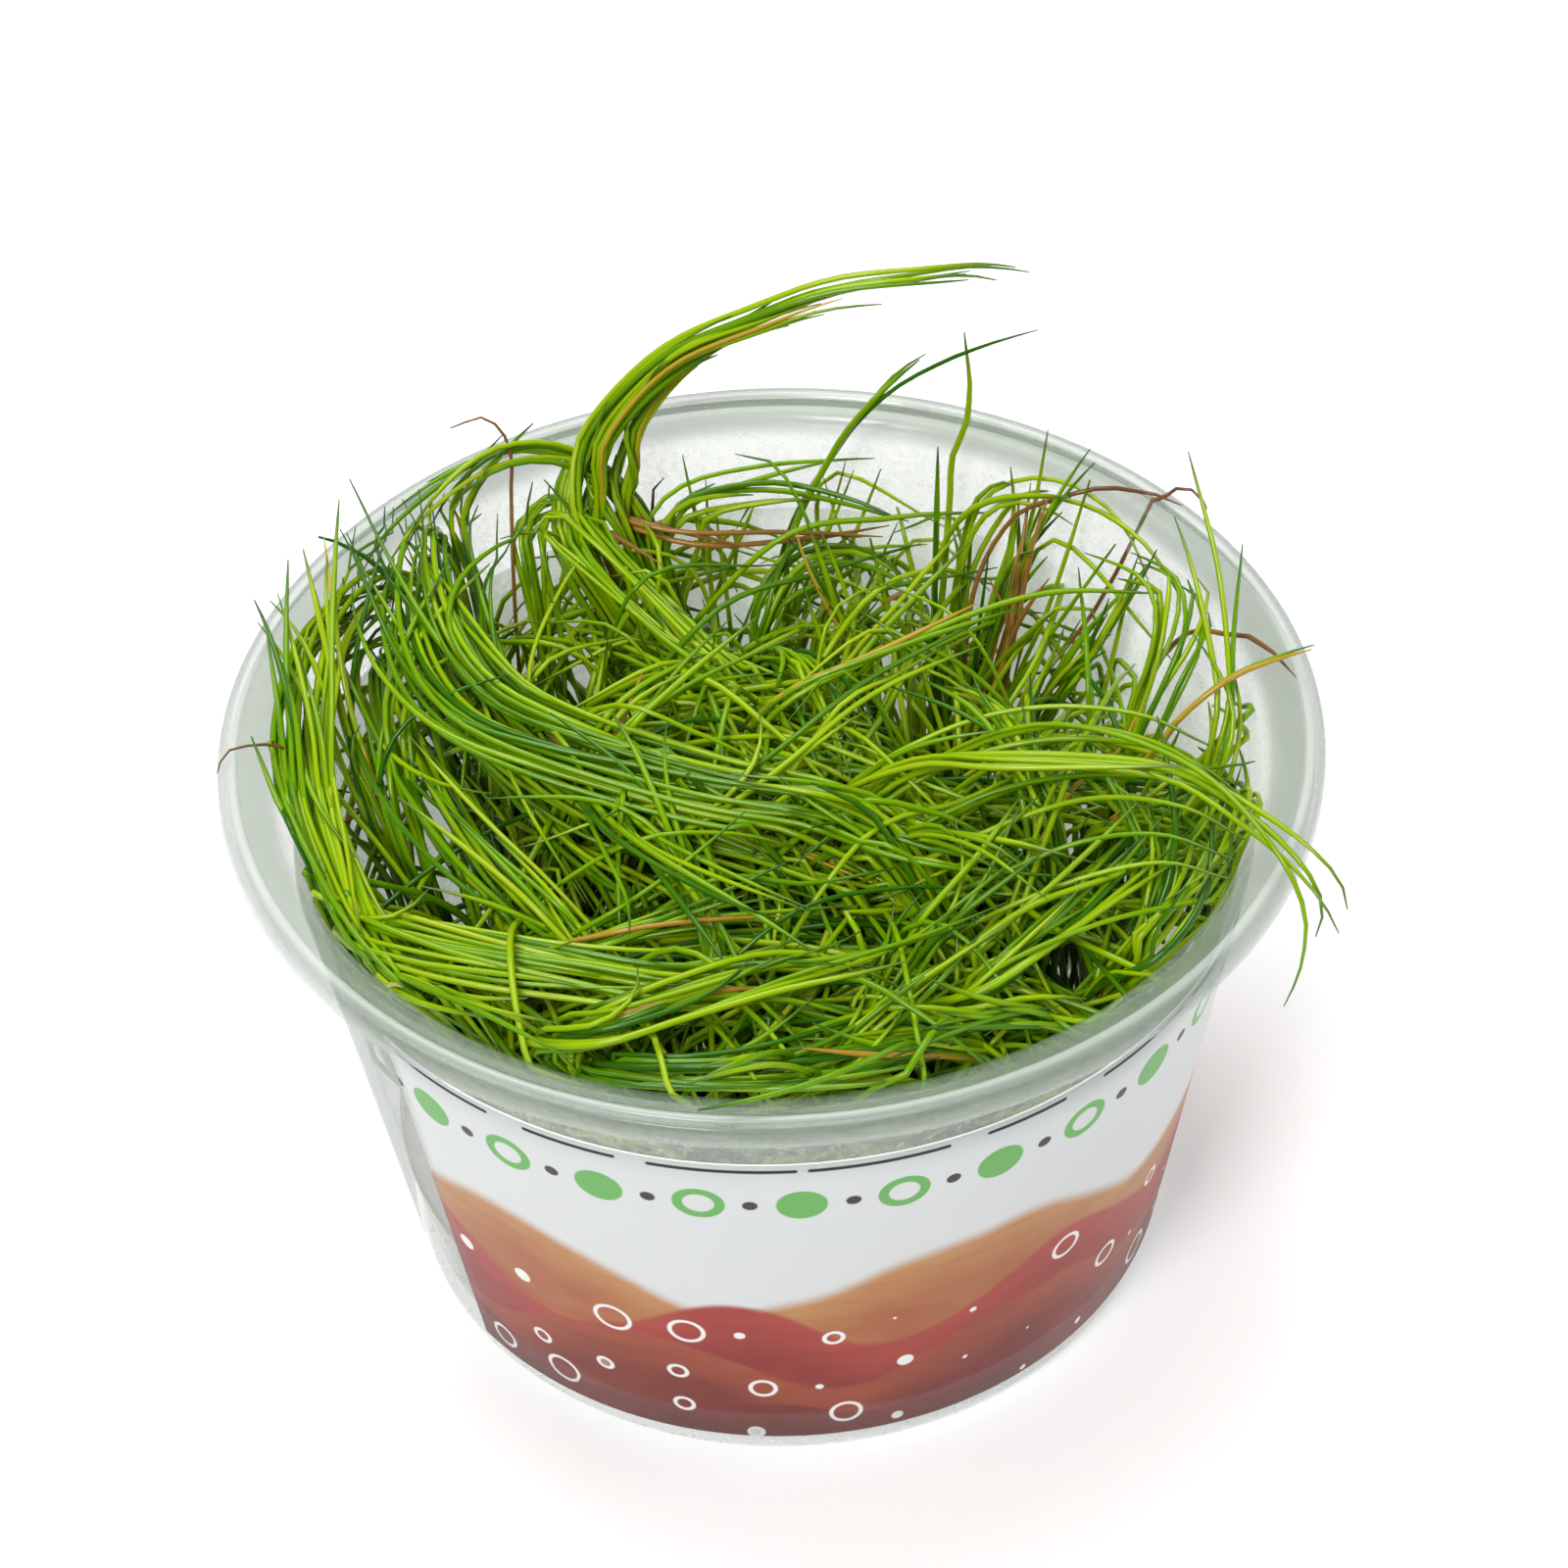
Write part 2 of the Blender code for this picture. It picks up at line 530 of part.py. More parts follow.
# Tufts: each sheaf with its own locks fused to it
for number, name in enumerate(crown_names):
    sheaf = bpy.data.objects.new(name + "_sheaf", sheaf_mesh(name + "_sheaf", number))
    guides.objects.link(sheaf)
    fused = []
    for k in [k for k, owner in enumerate(owners) if owner == number]:
        mesh = lock_mesh(f"{name}_lock_{k}", paths[k], radii[k])
        cleaned = bmesh.new()
        cleaned.from_mesh(mesh)
        bmesh.ops.remove_doubles(cleaned, verts=cleaned.verts, dist=1e-6)
        bmesh.ops.recalc_face_normals(cleaned, faces=cleaned.faces)
        cleaned.to_mesh(mesh)
        cleaned.free()
        lock = bpy.data.objects.new(f"{name}_lock_{k}", mesh)
        lock.display_type = "WIRE"
        lock.hide_render = True
        guides.objects.link(lock)
        fuse = sheaf.modifiers.new(f"fuse_{k}", "BOOLEAN")
        fuse.operation = "UNION"
        fuse.solver = "EXACT"
        fuse.object = lock
        fused.append(lock)
    keep(name, baked(sheaf), BLADE_GREENS[name], smooth=False)
    for lock in fused:
        bpy.data.objects.remove(lock, do_unlink=True)

for piece in parts.objects:
    count = sum(len(face.vertices) - 2 for face in piece.data.polygons)
    print(piece.name, count, "triangles")
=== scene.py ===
"""Looks of the dwarf hairgrass in its in-vitro cup: blades, cup, label, gel and studio.

Lengths in the tables are millimetres, scaled once by MM. The front of the cup faces -Y.
"""

import math

import bmesh
import bpy
import numpy as np
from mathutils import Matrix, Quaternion, Vector


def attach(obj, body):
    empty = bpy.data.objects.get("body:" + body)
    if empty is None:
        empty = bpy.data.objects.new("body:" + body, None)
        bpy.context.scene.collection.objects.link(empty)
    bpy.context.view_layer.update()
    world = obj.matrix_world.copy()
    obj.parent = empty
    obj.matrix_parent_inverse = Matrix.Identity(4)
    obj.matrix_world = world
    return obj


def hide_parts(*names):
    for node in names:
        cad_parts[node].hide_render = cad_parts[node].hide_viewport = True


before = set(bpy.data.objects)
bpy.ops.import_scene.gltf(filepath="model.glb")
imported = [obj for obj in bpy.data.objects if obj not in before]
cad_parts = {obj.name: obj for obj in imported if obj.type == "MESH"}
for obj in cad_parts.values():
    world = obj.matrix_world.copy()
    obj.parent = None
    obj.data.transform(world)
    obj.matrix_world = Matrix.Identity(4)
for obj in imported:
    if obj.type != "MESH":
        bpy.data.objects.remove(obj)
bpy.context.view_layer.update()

MM = 0.001

# Sizes of the cup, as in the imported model
CUP_HEIGHT = 58.1
BASE_RADIUS = 35.7
NECK_RADIUS = 45.2
NECK_HEIGHT = 55.8
WALL = 0.7
FLOOR = 0.8
RIM_RADIUS = 50.0
LIP_RADIUS = 46.1
LABEL_LOW = 2.7
LABEL_HIGH = 47.3
LABEL_START = 217.5
LABEL_TURN = 337.5
GEL_TOP = 12.0

# Where each crown stands on the gel
CROWNS = {
    "tuft_back_left": (-22.0, 19.0),
    "tuft_back": (-3.0, 29.0),
    "tuft_back_right": (17.0, 26.0),
    "tuft_right": (29.0, 3.0),
    "tuft_front_right": (20.0, -21.0),
    "tuft_front": (-4.0, -29.0),
    "tuft_front_left": (-27.0, -9.0),
    "tuft_middle": (0.0, 1.0),
}

# The locks: greatest half-thickness, how old the blades look, then the way the lock runs
LOCKS = {
    "tuft_back_left": [
        (2.3, 0.0, [(-24, 20, 28), (-29, 24, 45), (-35, 25, 55), (-40, 16, 57.5), (-41.5, 5, 57),
                    (-41, -4, 56), (-39, -12, 55), (-36, -21, 54.5), (-31, -29, 54),
                    (-24, -35, 53.5)]),
        (2.8, 0.0, [(-27, 24, 28), (-31, 31, 46), (-32, 30, 56), (-32, 21, 58.5), (-30, 12, 58),
                    (-26, 5, 57.5), (-20, 1, 57), (-12, -2, 56), (-4, -5, 55.5), (4, -7, 55),
                    (12, -12, 54.5), (21, -14, 53.5), (29, -15, 52)]),
        (2.3, 0.0, [(-25, 20, 28), (-30, 26, 47), (-31, 22, 55.5), (-28, 12, 55.5), (-23, 3, 54.5),
                    (-17, -3, 53), (-10, -6, 51.5), (-2, -9, 51), (6, -13, 50.5), (14, -17, 50)]),
        (1.9, 0.0, [(-20, 22, 30), (-21, 30, 50), (-20, 33, 57), (-17, 30, 55.5), (-12, 25, 52.5),
                    (-7, 19, 51), (-1, 14, 50), (5, 9, 50)]),
        (1.8, 0.0, [(-26, 18, 28), (-33, 22, 48), (-36, 18, 53), (-36, 12, 52.5), (-33, 1, 52),
                    (-28, -10, 52), (-22, -18, 52), (-15, -25, 53)]),
        (1.4, 0.1, [(-22, 16, 30), (-26, 14, 46), (-24, 5, 51), (-17, -7, 50.5), (-11, -15, 51)]),
        (1.2, 0.0, [(-24, 24, 30), (-28, 30, 48), (-29, 32, 57), (-26, 34.5, 62), (-22, 36, 65)]),
    ],
    "tuft_back": [
        (2.4, 0.0, [(-6, 28, 26), (-13, 30, 42), (-17.5, 31, 53), (-17, 35, 60), (-14, 37, 65),
                    (-8, 38, 71), (0, 37, 76), (7, 37, 79), (15, 37, 80), (21, 39, 79),
                    (26, 40.5, 77)]),
        (1.8, 0.0, [(-4, 30, 26), (-10, 33, 42), (-13.5, 35, 55), (-12.5, 37.5, 62),
                    (-8.5, 38.5, 68), (-3, 38.5, 72.5), (4, 38, 76)]),
        (0.9, 0.0, [(0, 32, 28), (2, 37, 46), (7, 39, 57), (12, 39, 65), (17, 39, 69),
                    (22, 38, 72), (26, 38, 73)]),
        (1.5, 0.05, [(-6, 31, 30), (-10, 35, 49), (-14, 37, 57), (-19, 36.5, 61.5),
                     (-25, 34.5, 63), (-30.5, 30.5, 62.5), (-35, 26.5, 60.5), (-37, 24, 58)]),
        (1.6, 0.1, [(-6, 29, 28), (-9, 33, 46), (-8, 37, 53), (0, 38.5, 54.5), (8, 38, 54),
                    (15, 36.5, 53)]),
        (1.3, 0.2, [(-3, 27, 28), (-1, 29, 44), (3, 33, 49.5), (9, 34, 50), (14, 32, 48)]),
        (1.4, 0.1, [(-2, 26, 28), (0, 22, 46), (3, 16, 51.5), (5, 8, 51), (6, 1, 51)]),
        (0.9, 0.8, [(-8, 30, 30), (-16, 36, 50), (-17, 36.6, 54), (-7.5, 33, 53.5), (2, 33, 53),
                    (11, 33.5, 52)]),
    ],
    "tuft_back_right": [
        (1.4, 0.05, [(17, 26, 18), (19, 27.5, 34), (24, 31, 50), (28, 34, 64)]),
        (1.3, 0.75, [(18, 25, 18), (21, 25, 36), (24, 27, 48), (27, 29, 57)]),
        (1.4, 0.1, [(19, 25, 18), (26, 23, 36), (32, 23, 48), (36, 24, 56)]),
        (0.45, 0.35, [(15.5, 27, 18), (15.7, 28, 34), (16, 29, 50), (16, 29, 67)]),
        (1.2, 0.0, [(16, 28, 20), (17, 31, 40), (20, 33, 52), (25, 34, 56.5), (31, 32, 57),
                    (35, 28, 56), (37, 25, 53)]),
        (1.3, 0.0, [(14, 25, 20), (10, 25, 38), (6, 27, 52), (3, 29, 59)]),
        (0.6, 0.0, [(16, 29, 20), (16.5, 33, 42), (17.5, 37, 56), (20, 38, 63), (20, 38.5, 72)]),
        (0.6, 0.9, [(18, 28, 20), (20, 31, 44), (24, 31.5, 55), (28, 31, 58), (32, 31, 59.5),
                    (36, 31, 58.5), (39, 29, 55)]),
    ],
    "tuft_right": [
        (1.5, 0.0, [(32, 0, 28), (38, -4, 44), (40.5, -3, 52), (42.5, 1, 57), (42.5, 6, 61),
                    (42, 11, 65.5), (41, 15, 69.5), (40, 19, 73)]),
        (1.2, 0.0, [(29, 3, 30), (33, 0, 48), (37, 1, 56), (41, 2.5, 60.5), (45, 4, 62),
                    (48, 5, 62.5)]),
        (1.4, 0.0, [(28, 0, 30), (29, -5, 47), (34, -9, 53), (38, -13, 54.5), (40.5, -17, 55)]),
        (1.4, 0.0, [(27, 3, 30), (23, 2, 48), (22, -2, 53), (26, -6, 54), (31, -9, 53)]),
        (1.1, 0.1, [(30, 5, 30), (34, 9, 46), (38, 14, 54), (38, 20, 56.5), (33, 25, 55)]),
        (1.2, 0.0, [(27, 6, 30), (24, 10, 44), (19, 15, 50), (13, 18, 52), (8, 20, 54)]),
        (1.3, 0.0, [(33, 2, 28), (39, -3, 46), (42, -9, 56), (40, -16, 57.5), (36, -22, 57)]),
        (0.5, 0.85, [(33, 10, 34), (37, 17, 50), (42, 12, 57), (45.5, 7, 60), (47.5, 2, 60.5)]),
    ],
    "tuft_front_right": [
        (1.6, 0.0, [(18, -22, 28), (14, -26, 44), (17, -29, 53), (23, -25, 55.5), (29, -19, 56),
                    (35, -14, 57)]),
        (1.4, 0.0, [(22, -22, 28), (28, -24, 46), (32, -26, 53.5), (37, -20, 56), (41, -12, 58)]),
        (1.5, 0.0, [(18, -24, 28), (18, -31, 46), (14, -36, 53.5), (6, -39, 55.5), (-2, -41, 56)]),
        (1.1, 0.0, [(20, -25, 30), (23, -30, 47), (22, -34, 54), (16, -38, 57.5), (9, -42, 59.5)]),
        (1.3, 0.0, [(18, -19, 30), (15, -16, 47), (10, -12, 56), (4, -10, 58.5), (-3, -8, 59.5)]),
        (1.2, 0.1, [(22, -18, 30), (25, -13, 47), (24, -6, 56), (20, 1, 58), (14, 7, 57)]),
        (1.2, 0.0, [(24, -21, 28), (30, -21, 46), (33, -17, 55), (32, -9, 57), (29, -1, 57.5)]),
    ],
    "tuft_front": [
        (1.9, 0.0, [(-8, -29, 28), (-16, -32, 46), (-20, -34, 54), (-15, -36, 57), (-8, -34, 58),
                    (0, -31, 58), (9, -29, 57.5), (17, -26, 57)]),
        (1.6, 0.0, [(-6, -30, 28), (-12, -35, 46), (-16, -38, 53.5), (-11, -40, 55),
                    (-4, -41, 55.5), (3, -40.5, 55.5), (10, -38, 55), (18, -34, 54)]),
        (0.7, 0.0, [(-2, -31, 28), (1, -36, 46), (2, -40, 55), (-1, -43.5, 59.5), (-5, -46, 61),
                    (-9, -47.5, 61)]),
        (1.2, 0.0, [(-4, -26, 28), (-5, -22, 46), (-8, -14, 54), (-13, -6, 57.5), (-19, 1, 59)]),
        (1.3, 0.0, [(0, -29, 28), (6, -29, 45), (12, -25, 54), (18, -19, 57), (23, -11, 58)]),
        (1.2, 0.1, [(-6, -27, 28), (-12, -24, 46), (-19, -20, 54.5), (-26, -13, 57),
                    (-32, -5, 58)]),
        (1.3, 0.0, [(-2, -31, 28), (0, -36, 46), (5, -37, 54), (12, -34, 58), (19, -29, 59)]),
    ],
    "tuft_front_left": [
        (2.0, 0.0, [(-28, -10, 28), (-34, -14, 46), (-36, -20, 54), (-28, -24, 55),
                    (-18, -27, 55), (-10, -29, 54.5), (-1, -29, 54), (7, -28, 53.5)]),
        (1.1, 0.0, [(-30, -9, 28), (-37, -9, 46), (-40.5, -6, 54.5), (-42, 1, 59),
                    (-43.5, 8, 61.5), (-45, 16, 63)]),
        (1.1, 0.0, [(-29, -6, 28), (-35, -1, 46), (-39, 6, 54), (-40.5, 14, 60.5),
                    (-41, 23, 63)]),
        (1.4, 0.0, [(-28, -12, 28), (-32, -19, 46), (-33, -27, 54), (-27, -33, 57),
                    (-19, -38, 58)]),
        (1.2, 0.0, [(-26, -12, 28), (-22, -18, 46), (-16, -22, 54), (-8, -20, 56), (0, -17, 57)]),
        (1.1, 0.0, [(-24, -8, 28), (-20, -5, 46), (-14, 2, 55), (-8, 9, 57), (-2, 15, 57)]),
        (1.1, 0.1, [(-29, -7, 28), (-33, -2, 46), (-34, 6, 56), (-31, 14, 59.5), (-26, 21, 61)]),
    ],
    "tuft_middle": [
        (1.9, 0.0, [(2, -1, 28), (4, -3, 46), (9, -5, 55), (14, -6, 58.5), (19, -8, 60),
                    (27, -10, 61), (35, -13, 62), (40, -18, 62.3), (44.3, -22.5, 61.3),
                    (47, -25.5, 59), (48, -26.5, 56.5), (48, -26.5, 54)]),
        (0.9, 0.0, [(4, 1, 28), (9, 0, 46), (16, -2, 55), (24, -4, 60), (32, -8, 62),
                    (39, -14, 63), (43.5, -21, 62.5), (46, -25, 59), (46, -27.5, 55),
                    (43.8, -29, 50)]),
        (1.0, 0.0, [(-1, 4, 28), (-3, 9, 44), (1, 11.5, 51), (11, 14, 55), (19, 16, 57),
                    (27, 17, 58), (37, 16, 58)]),
        (1.0, 0.0, [(-3, -1, 28), (-8, -4, 46), (-7, -8, 53.5), (1, -3, 57), (8, 4, 58.5),
                    (14, 10, 58), (20, 16, 57)]),
        (1.2, 0.0, [(-4, 2, 28), (-9, 2, 46), (-15, -4, 54), (-12, -13, 57), (-4, -21, 58),
                    (3, -27, 59)]),
        (1.2, 0.0, [(1, 4, 28), (3, 9, 44), (8, 17, 51), (14, 22, 55), (20, 26, 58)]),
        (1.2, 0.0, [(3, -2, 28), (7, -6, 46), (13, -11, 55), (19, -17, 58.5), (25, -24, 59)]),
    ],
}

# Single blades and dry roots that stand out: half-thickness, tone, age, the way
STRAYS = {
    "tuft_back_left": [
        (0.19, 0.25, 0.85, [(-24, 25, 20), (-24, 28, 48), (-23.8, 33, 59), (-23.6, 35, 62),
                            (-24.4, 36, 64.5), (-26.0, 36, 66.2), (-27.6, 36, 65.8),
                            (-29.2, 36, 65.1)]),
        (0.30, 0.0, 0.0, [(-30, 20, 20), (-33, 24, 50), (-36, 24, 58), (-39.3, 24.3, 61),
                          (-41.5, 24.4, 62)]),
    ],
    "tuft_back_right": [
        (0.22, 0.30, 0.90, [(18, 26, 14), (23, 27, 32), (31, 28.5, 45), (37, 29.5, 54),
                            (37.9, 30, 57.5), (39.1, 30, 59.4), (41, 29, 59.6), (41.8, 28, 58),
                            (41.6, 28, 56)]),
        (0.22, 0.00, 0.0, [(16.0, 26.5, 14), (16.0, 27.5, 34), (16.2, 28.5, 50),
                           (16.4, 29, 61)]),
        (0.24, 0.30, 0.62, [(17.5, 26, 14), (20, 26.5, 32), (23.5, 28.5, 46), (27, 30, 59)]),
        (0.26, 0.50, 0.58, [(17.2, 25.6, 14), (19.5, 25.5, 32), (22, 26.5, 45), (24.5, 28, 56)]),
        (0.24, 0.70, 0.0, [(16.6, 25.5, 14), (13, 24, 34), (9, 23, 47), (5, 22.5, 55)]),
        (0.25, 0.60, 0.0, [(16.6, 26, 14), (14.2, 25, 34), (12, 25, 47), (10, 26, 58)]),
        (0.25, 0.35, 0.0, [(17.6, 26, 14), (21, 24.5, 34), (27, 24, 47), (33, 25, 57)]),
        (0.24, 0.65, 0.0, [(17.6, 26, 14), (22, 26, 34), (27, 28, 47), (31, 31, 60)]),
    ],
    "tuft_front_left": [
        (0.16, 0.25, 0.90, [(-36, 0, 30), (-40, 0, 50), (-43.5, -0.5, 57.5), (-45.1, -1, 59),
                            (-47, -1.2, 59.2), (-48.6, -1.7, 59.2), (-49.4, -3, 59),
                            (-49.6, -4.6, 59)]),
    ],
    "tuft_front": [
        (0.30, 0.30, 0.0, [(12, -33, 36), (12, -36, 50), (11, -40, 57.5), (7, -43.8, 59.4),
                           (2, -46.4, 59.6), (-3, -48, 59.6), (-7.1, -48.8, 59.5)]),
    ],
    "tuft_middle": [
        (0.28, 0.55, 0.0, [(2, -1, 14), (4, -6, 36), (8, -12, 50), (14, -13.5, 54),
                           (22, -12, 57), (29, -12.5, 59.5), (36, -15.5, 60.8),
                           (41, -19.5, 60.4)]),
        (0.27, 0.35, 0.0, [(2, -2, 14), (6, -9, 36), (12, -17, 50.5), (19, -16.5, 54),
                           (27, -15.5, 57), (34, -17, 59), (40, -21, 59.4)]),
        (0.27, 0.62, 0.0, [(3, -2, 14), (7, -10, 36), (13, -21, 50), (20, -20, 53.5),
                           (27, -19, 56), (34, -19.5, 58), (39.5, -22.5, 58.5)]),
        (0.28, 0.45, 0.0, [(2, 0, 14), (4, -3, 36), (7, -7, 51), (14, -5, 56), (22, -4, 58.5),
                           (30, -5.5, 60), (37, -9, 60.5), (42, -14.5, 60)]),
        (0.26, 0.60, 0.0, [(1, 1, 14), (3, 0, 36), (6, -2, 51), (15, 0, 56.5), (24, 0.5, 58.8),
                           (33, -2, 59.8), (39, -6.5, 59.8)]),
        (0.27, 0.25, 0.0, [(1, 0, 14), (2, -5, 36), (4, -10, 50.5), (12, -10, 54),
                           (20, -9, 57.5), (28, -10, 60), (36, -13, 61.5), (42, -18, 61.5)]),
    ],
}

# Number of blades in a lock, where it is not the one that goes with its thickness
BLADES_IN = {
    ("tuft_back", 2): 3,
    ("tuft_back", 3): 8,
    ("tuft_back", 4): 8,
    ("tuft_back", 7): 5,
    ("tuft_back_right", 1): 4,
    ("tuft_back_right", 4): 6,
    ("tuft_back_right", 5): 6,
    ("tuft_back_right", 7): 1,
    ("tuft_right", 0): 6,
    ("tuft_right", 1): 3,
    ("tuft_right", 3): 5,
    ("tuft_right", 5): 3,
    ("tuft_middle", 0): 6,
    ("tuft_middle", 1): 2,
    ("tuft_middle", 2): 3,
    ("tuft_middle", 3): 4,
    ("tuft_middle", 5): 2,
}

# How closely the blades of a lock keep together, where that is not 1: tuft and lock number
LOOSENESS = {
    ("tuft_back", 0): 0.30,
    ("tuft_back", 1): 0.45,
    ("tuft_back", 2): 0.45,
    ("tuft_back", 3): 0.60,
    ("tuft_back", 7): 0.60,
    ("tuft_back_left", 0): 0.80,
    ("tuft_back_left", 1): 1.25,
    ("tuft_back_left", 2): 1.30,
    ("tuft_right", 0): 0.60,
    ("tuft_middle", 0): 0.70,
    ("tuft_middle", 1): 0.70,
}

# How the grass between the locks stands, tuft by tuft: blades, crown radius, reach of the
# tops, and how yellow they are
LAWN = {
    "tuft_back_left": (130, 10.0, 0.9, 0.50),
    "tuft_back": (105, 10.0, 0.6, 0.64),
    "tuft_back_right": (50, 5.0, 0.5, 0.58),
    "tuft_right": (95, 9.5, 0.8, 0.54),
    "tuft_front_right": (165, 10.5, 1.0, 0.44),
    "tuft_front": (175, 10.5, 1.0, 0.40),
    "tuft_front_left": (165, 10.0, 1.0, 0.44),
    "tuft_middle": (170, 10.5, 0.9, 0.47),
}

# Gaps in the grass through which the wall shows: place at 50 mm up, and half-width
GAPS = (
    (-1.4, 24.5, 2.2), (2.6, 19.0, 1.6), (-18.3, 15.9, 1.5), (-23.4, 18.7, 1.2),
    (12.3, 23.1, 1.8), (-35.7, 22.2, 2.2), (-38.6, 19.6, 1.6), (-39.5, 10.7, 1.4),
    (-31.4, -3.7, 2.2), (-27.4, -10.4, 1.6), (26.9, -8.4, 2.2), (25.4, -23.8, 2.0),
    (33.4, -21.1, 1.6), (38.2, 10.5, 2.5), (33.9, 21.1, 3.0), (32.9, 32.7, 3.0),
    (-9.5, 23.6, 1.4), (16.0, 4.8, 2.6), (16.3, 11.0, 3.0), (18.0, 8.2, 2.6),
    (19.7, 13.6, 2.6), (13.2, 11.2, 2.0), (22.7, 19.0, 2.0),
)
EYE = np.array((1.058, -343.83, 367.94))

# Share of a lock's blades that are rooted under its far end and have their tips at its top
TIPS_AT_TOP = {
    ("tuft_back_left", 0): 0.70,
    ("tuft_back_left", 1): 0.75,
    ("tuft_back_left", 2): 0.75,
    ("tuft_back_left", 3): 0.55,
    ("tuft_back_left", 4): 0.60,
    ("tuft_back_left", 5): 0.50,
}

# Thin blades that stand clear of the others in front of the wall, tuft by tuft
AIRY = {
    "tuft_back_left": 42,
    "tuft_back": 62,
    "tuft_back_right": 22,
    "tuft_right": 34,
    "tuft_front_right": 14,
    "tuft_front": 10,
    "tuft_front_left": 20,
    "tuft_middle": 30,
}

# Hills printed on the label: height of the middle, swing, pitch, shift, softness, two colours
HILLS = (
    (24.0, 3.6, 46.0, 0.4, 1.2, (0.50, 0.25, 0.09, 1), (0.34, 0.075, 0.030, 1)),
    (18.0, 3.2, 33.0, 2.1, 0.5, (0.40, 0.050, 0.035, 1), (0.22, 0.018, 0.016, 1)),
    (11.5, 2.6, 39.0, 4.4, 0.3, (0.34, 0.065, 0.028, 1), (0.14, 0.013, 0.011, 1)),
    (4.6, 1.7, 27.0, 1.0, 0.2, (0.19, 0.022, 0.016, 1), (0.07, 0.009, 0.008, 1)),
)


def wall_inside(height):
    """Radius of the inside of the wall at a height, up to the lip."""
    at = min(height, NECK_HEIGHT)
    return BASE_RADIUS + (NECK_RADIUS - BASE_RADIUS) * at / NECK_HEIGHT - WALL


def lawn_height(x, y):
    """Height of the grass between the locks: lowest at the back right."""
    along = min(1.0, max(0.0, (x * 0.62 + y * 0.78 - 4.0) / 38.0))
    return 49.5 - 11.0 * along**1.2


# Small helpers for shader trees
def node(tree, kind, inputs=None, **settings):
    """Add a node, set its options, and link or set its inputs."""
    made = tree.nodes.new(kind)
    for name, value in settings.items():
        setattr(made, name, value)
    for name, value in (inputs or {}).items():
        if isinstance(value, bpy.types.NodeSocket):
            tree.links.new(value, made.inputs[name])
        else:
            made.inputs[name].default_value = value
    return made


def calc(tree, operation, first, second=0.0, third=0.0):
    """One Math node; returns its output."""
    values = {0: first, 1: second}
    if operation in ("MULTIPLY_ADD", "SMOOTH_MIN", "SMOOTH_MAX", "COMPARE"):
        values[2] = third
    return node(tree, "ShaderNodeMath", values, operation=operation).outputs[0]


def fade(tree, value, start, end):
    """Smooth step of a value from 0 at start to 1 at end."""
    made = node(tree, "ShaderNodeMapRange", {"Value": value, "From Min": start, "From Max": end},
                interpolation_type="SMOOTHSTEP")
    return made.outputs["Result"]


def blend_colors(tree, factor, first, second, mode="MIX"):
    """Mix two colours by a factor."""
    made = tree.nodes.new("ShaderNodeMix")
    made.data_type = "RGBA"
    made.blend_type = mode
    for socket, value in ((0, factor), (6, first), (7, second)):
        if isinstance(value, bpy.types.NodeSocket):
            tree.links.new(value, made.inputs[socket])
        else:
            made.inputs[socket].default_value = value
    return made.outputs[2]


def new_material(name):
    """A material with an empty Principled BSDF."""
    made = bpy.data.materials.new(name)
    made.use_nodes = True
    return made, made.node_tree, made.node_tree.nodes["Principled BSDF"]


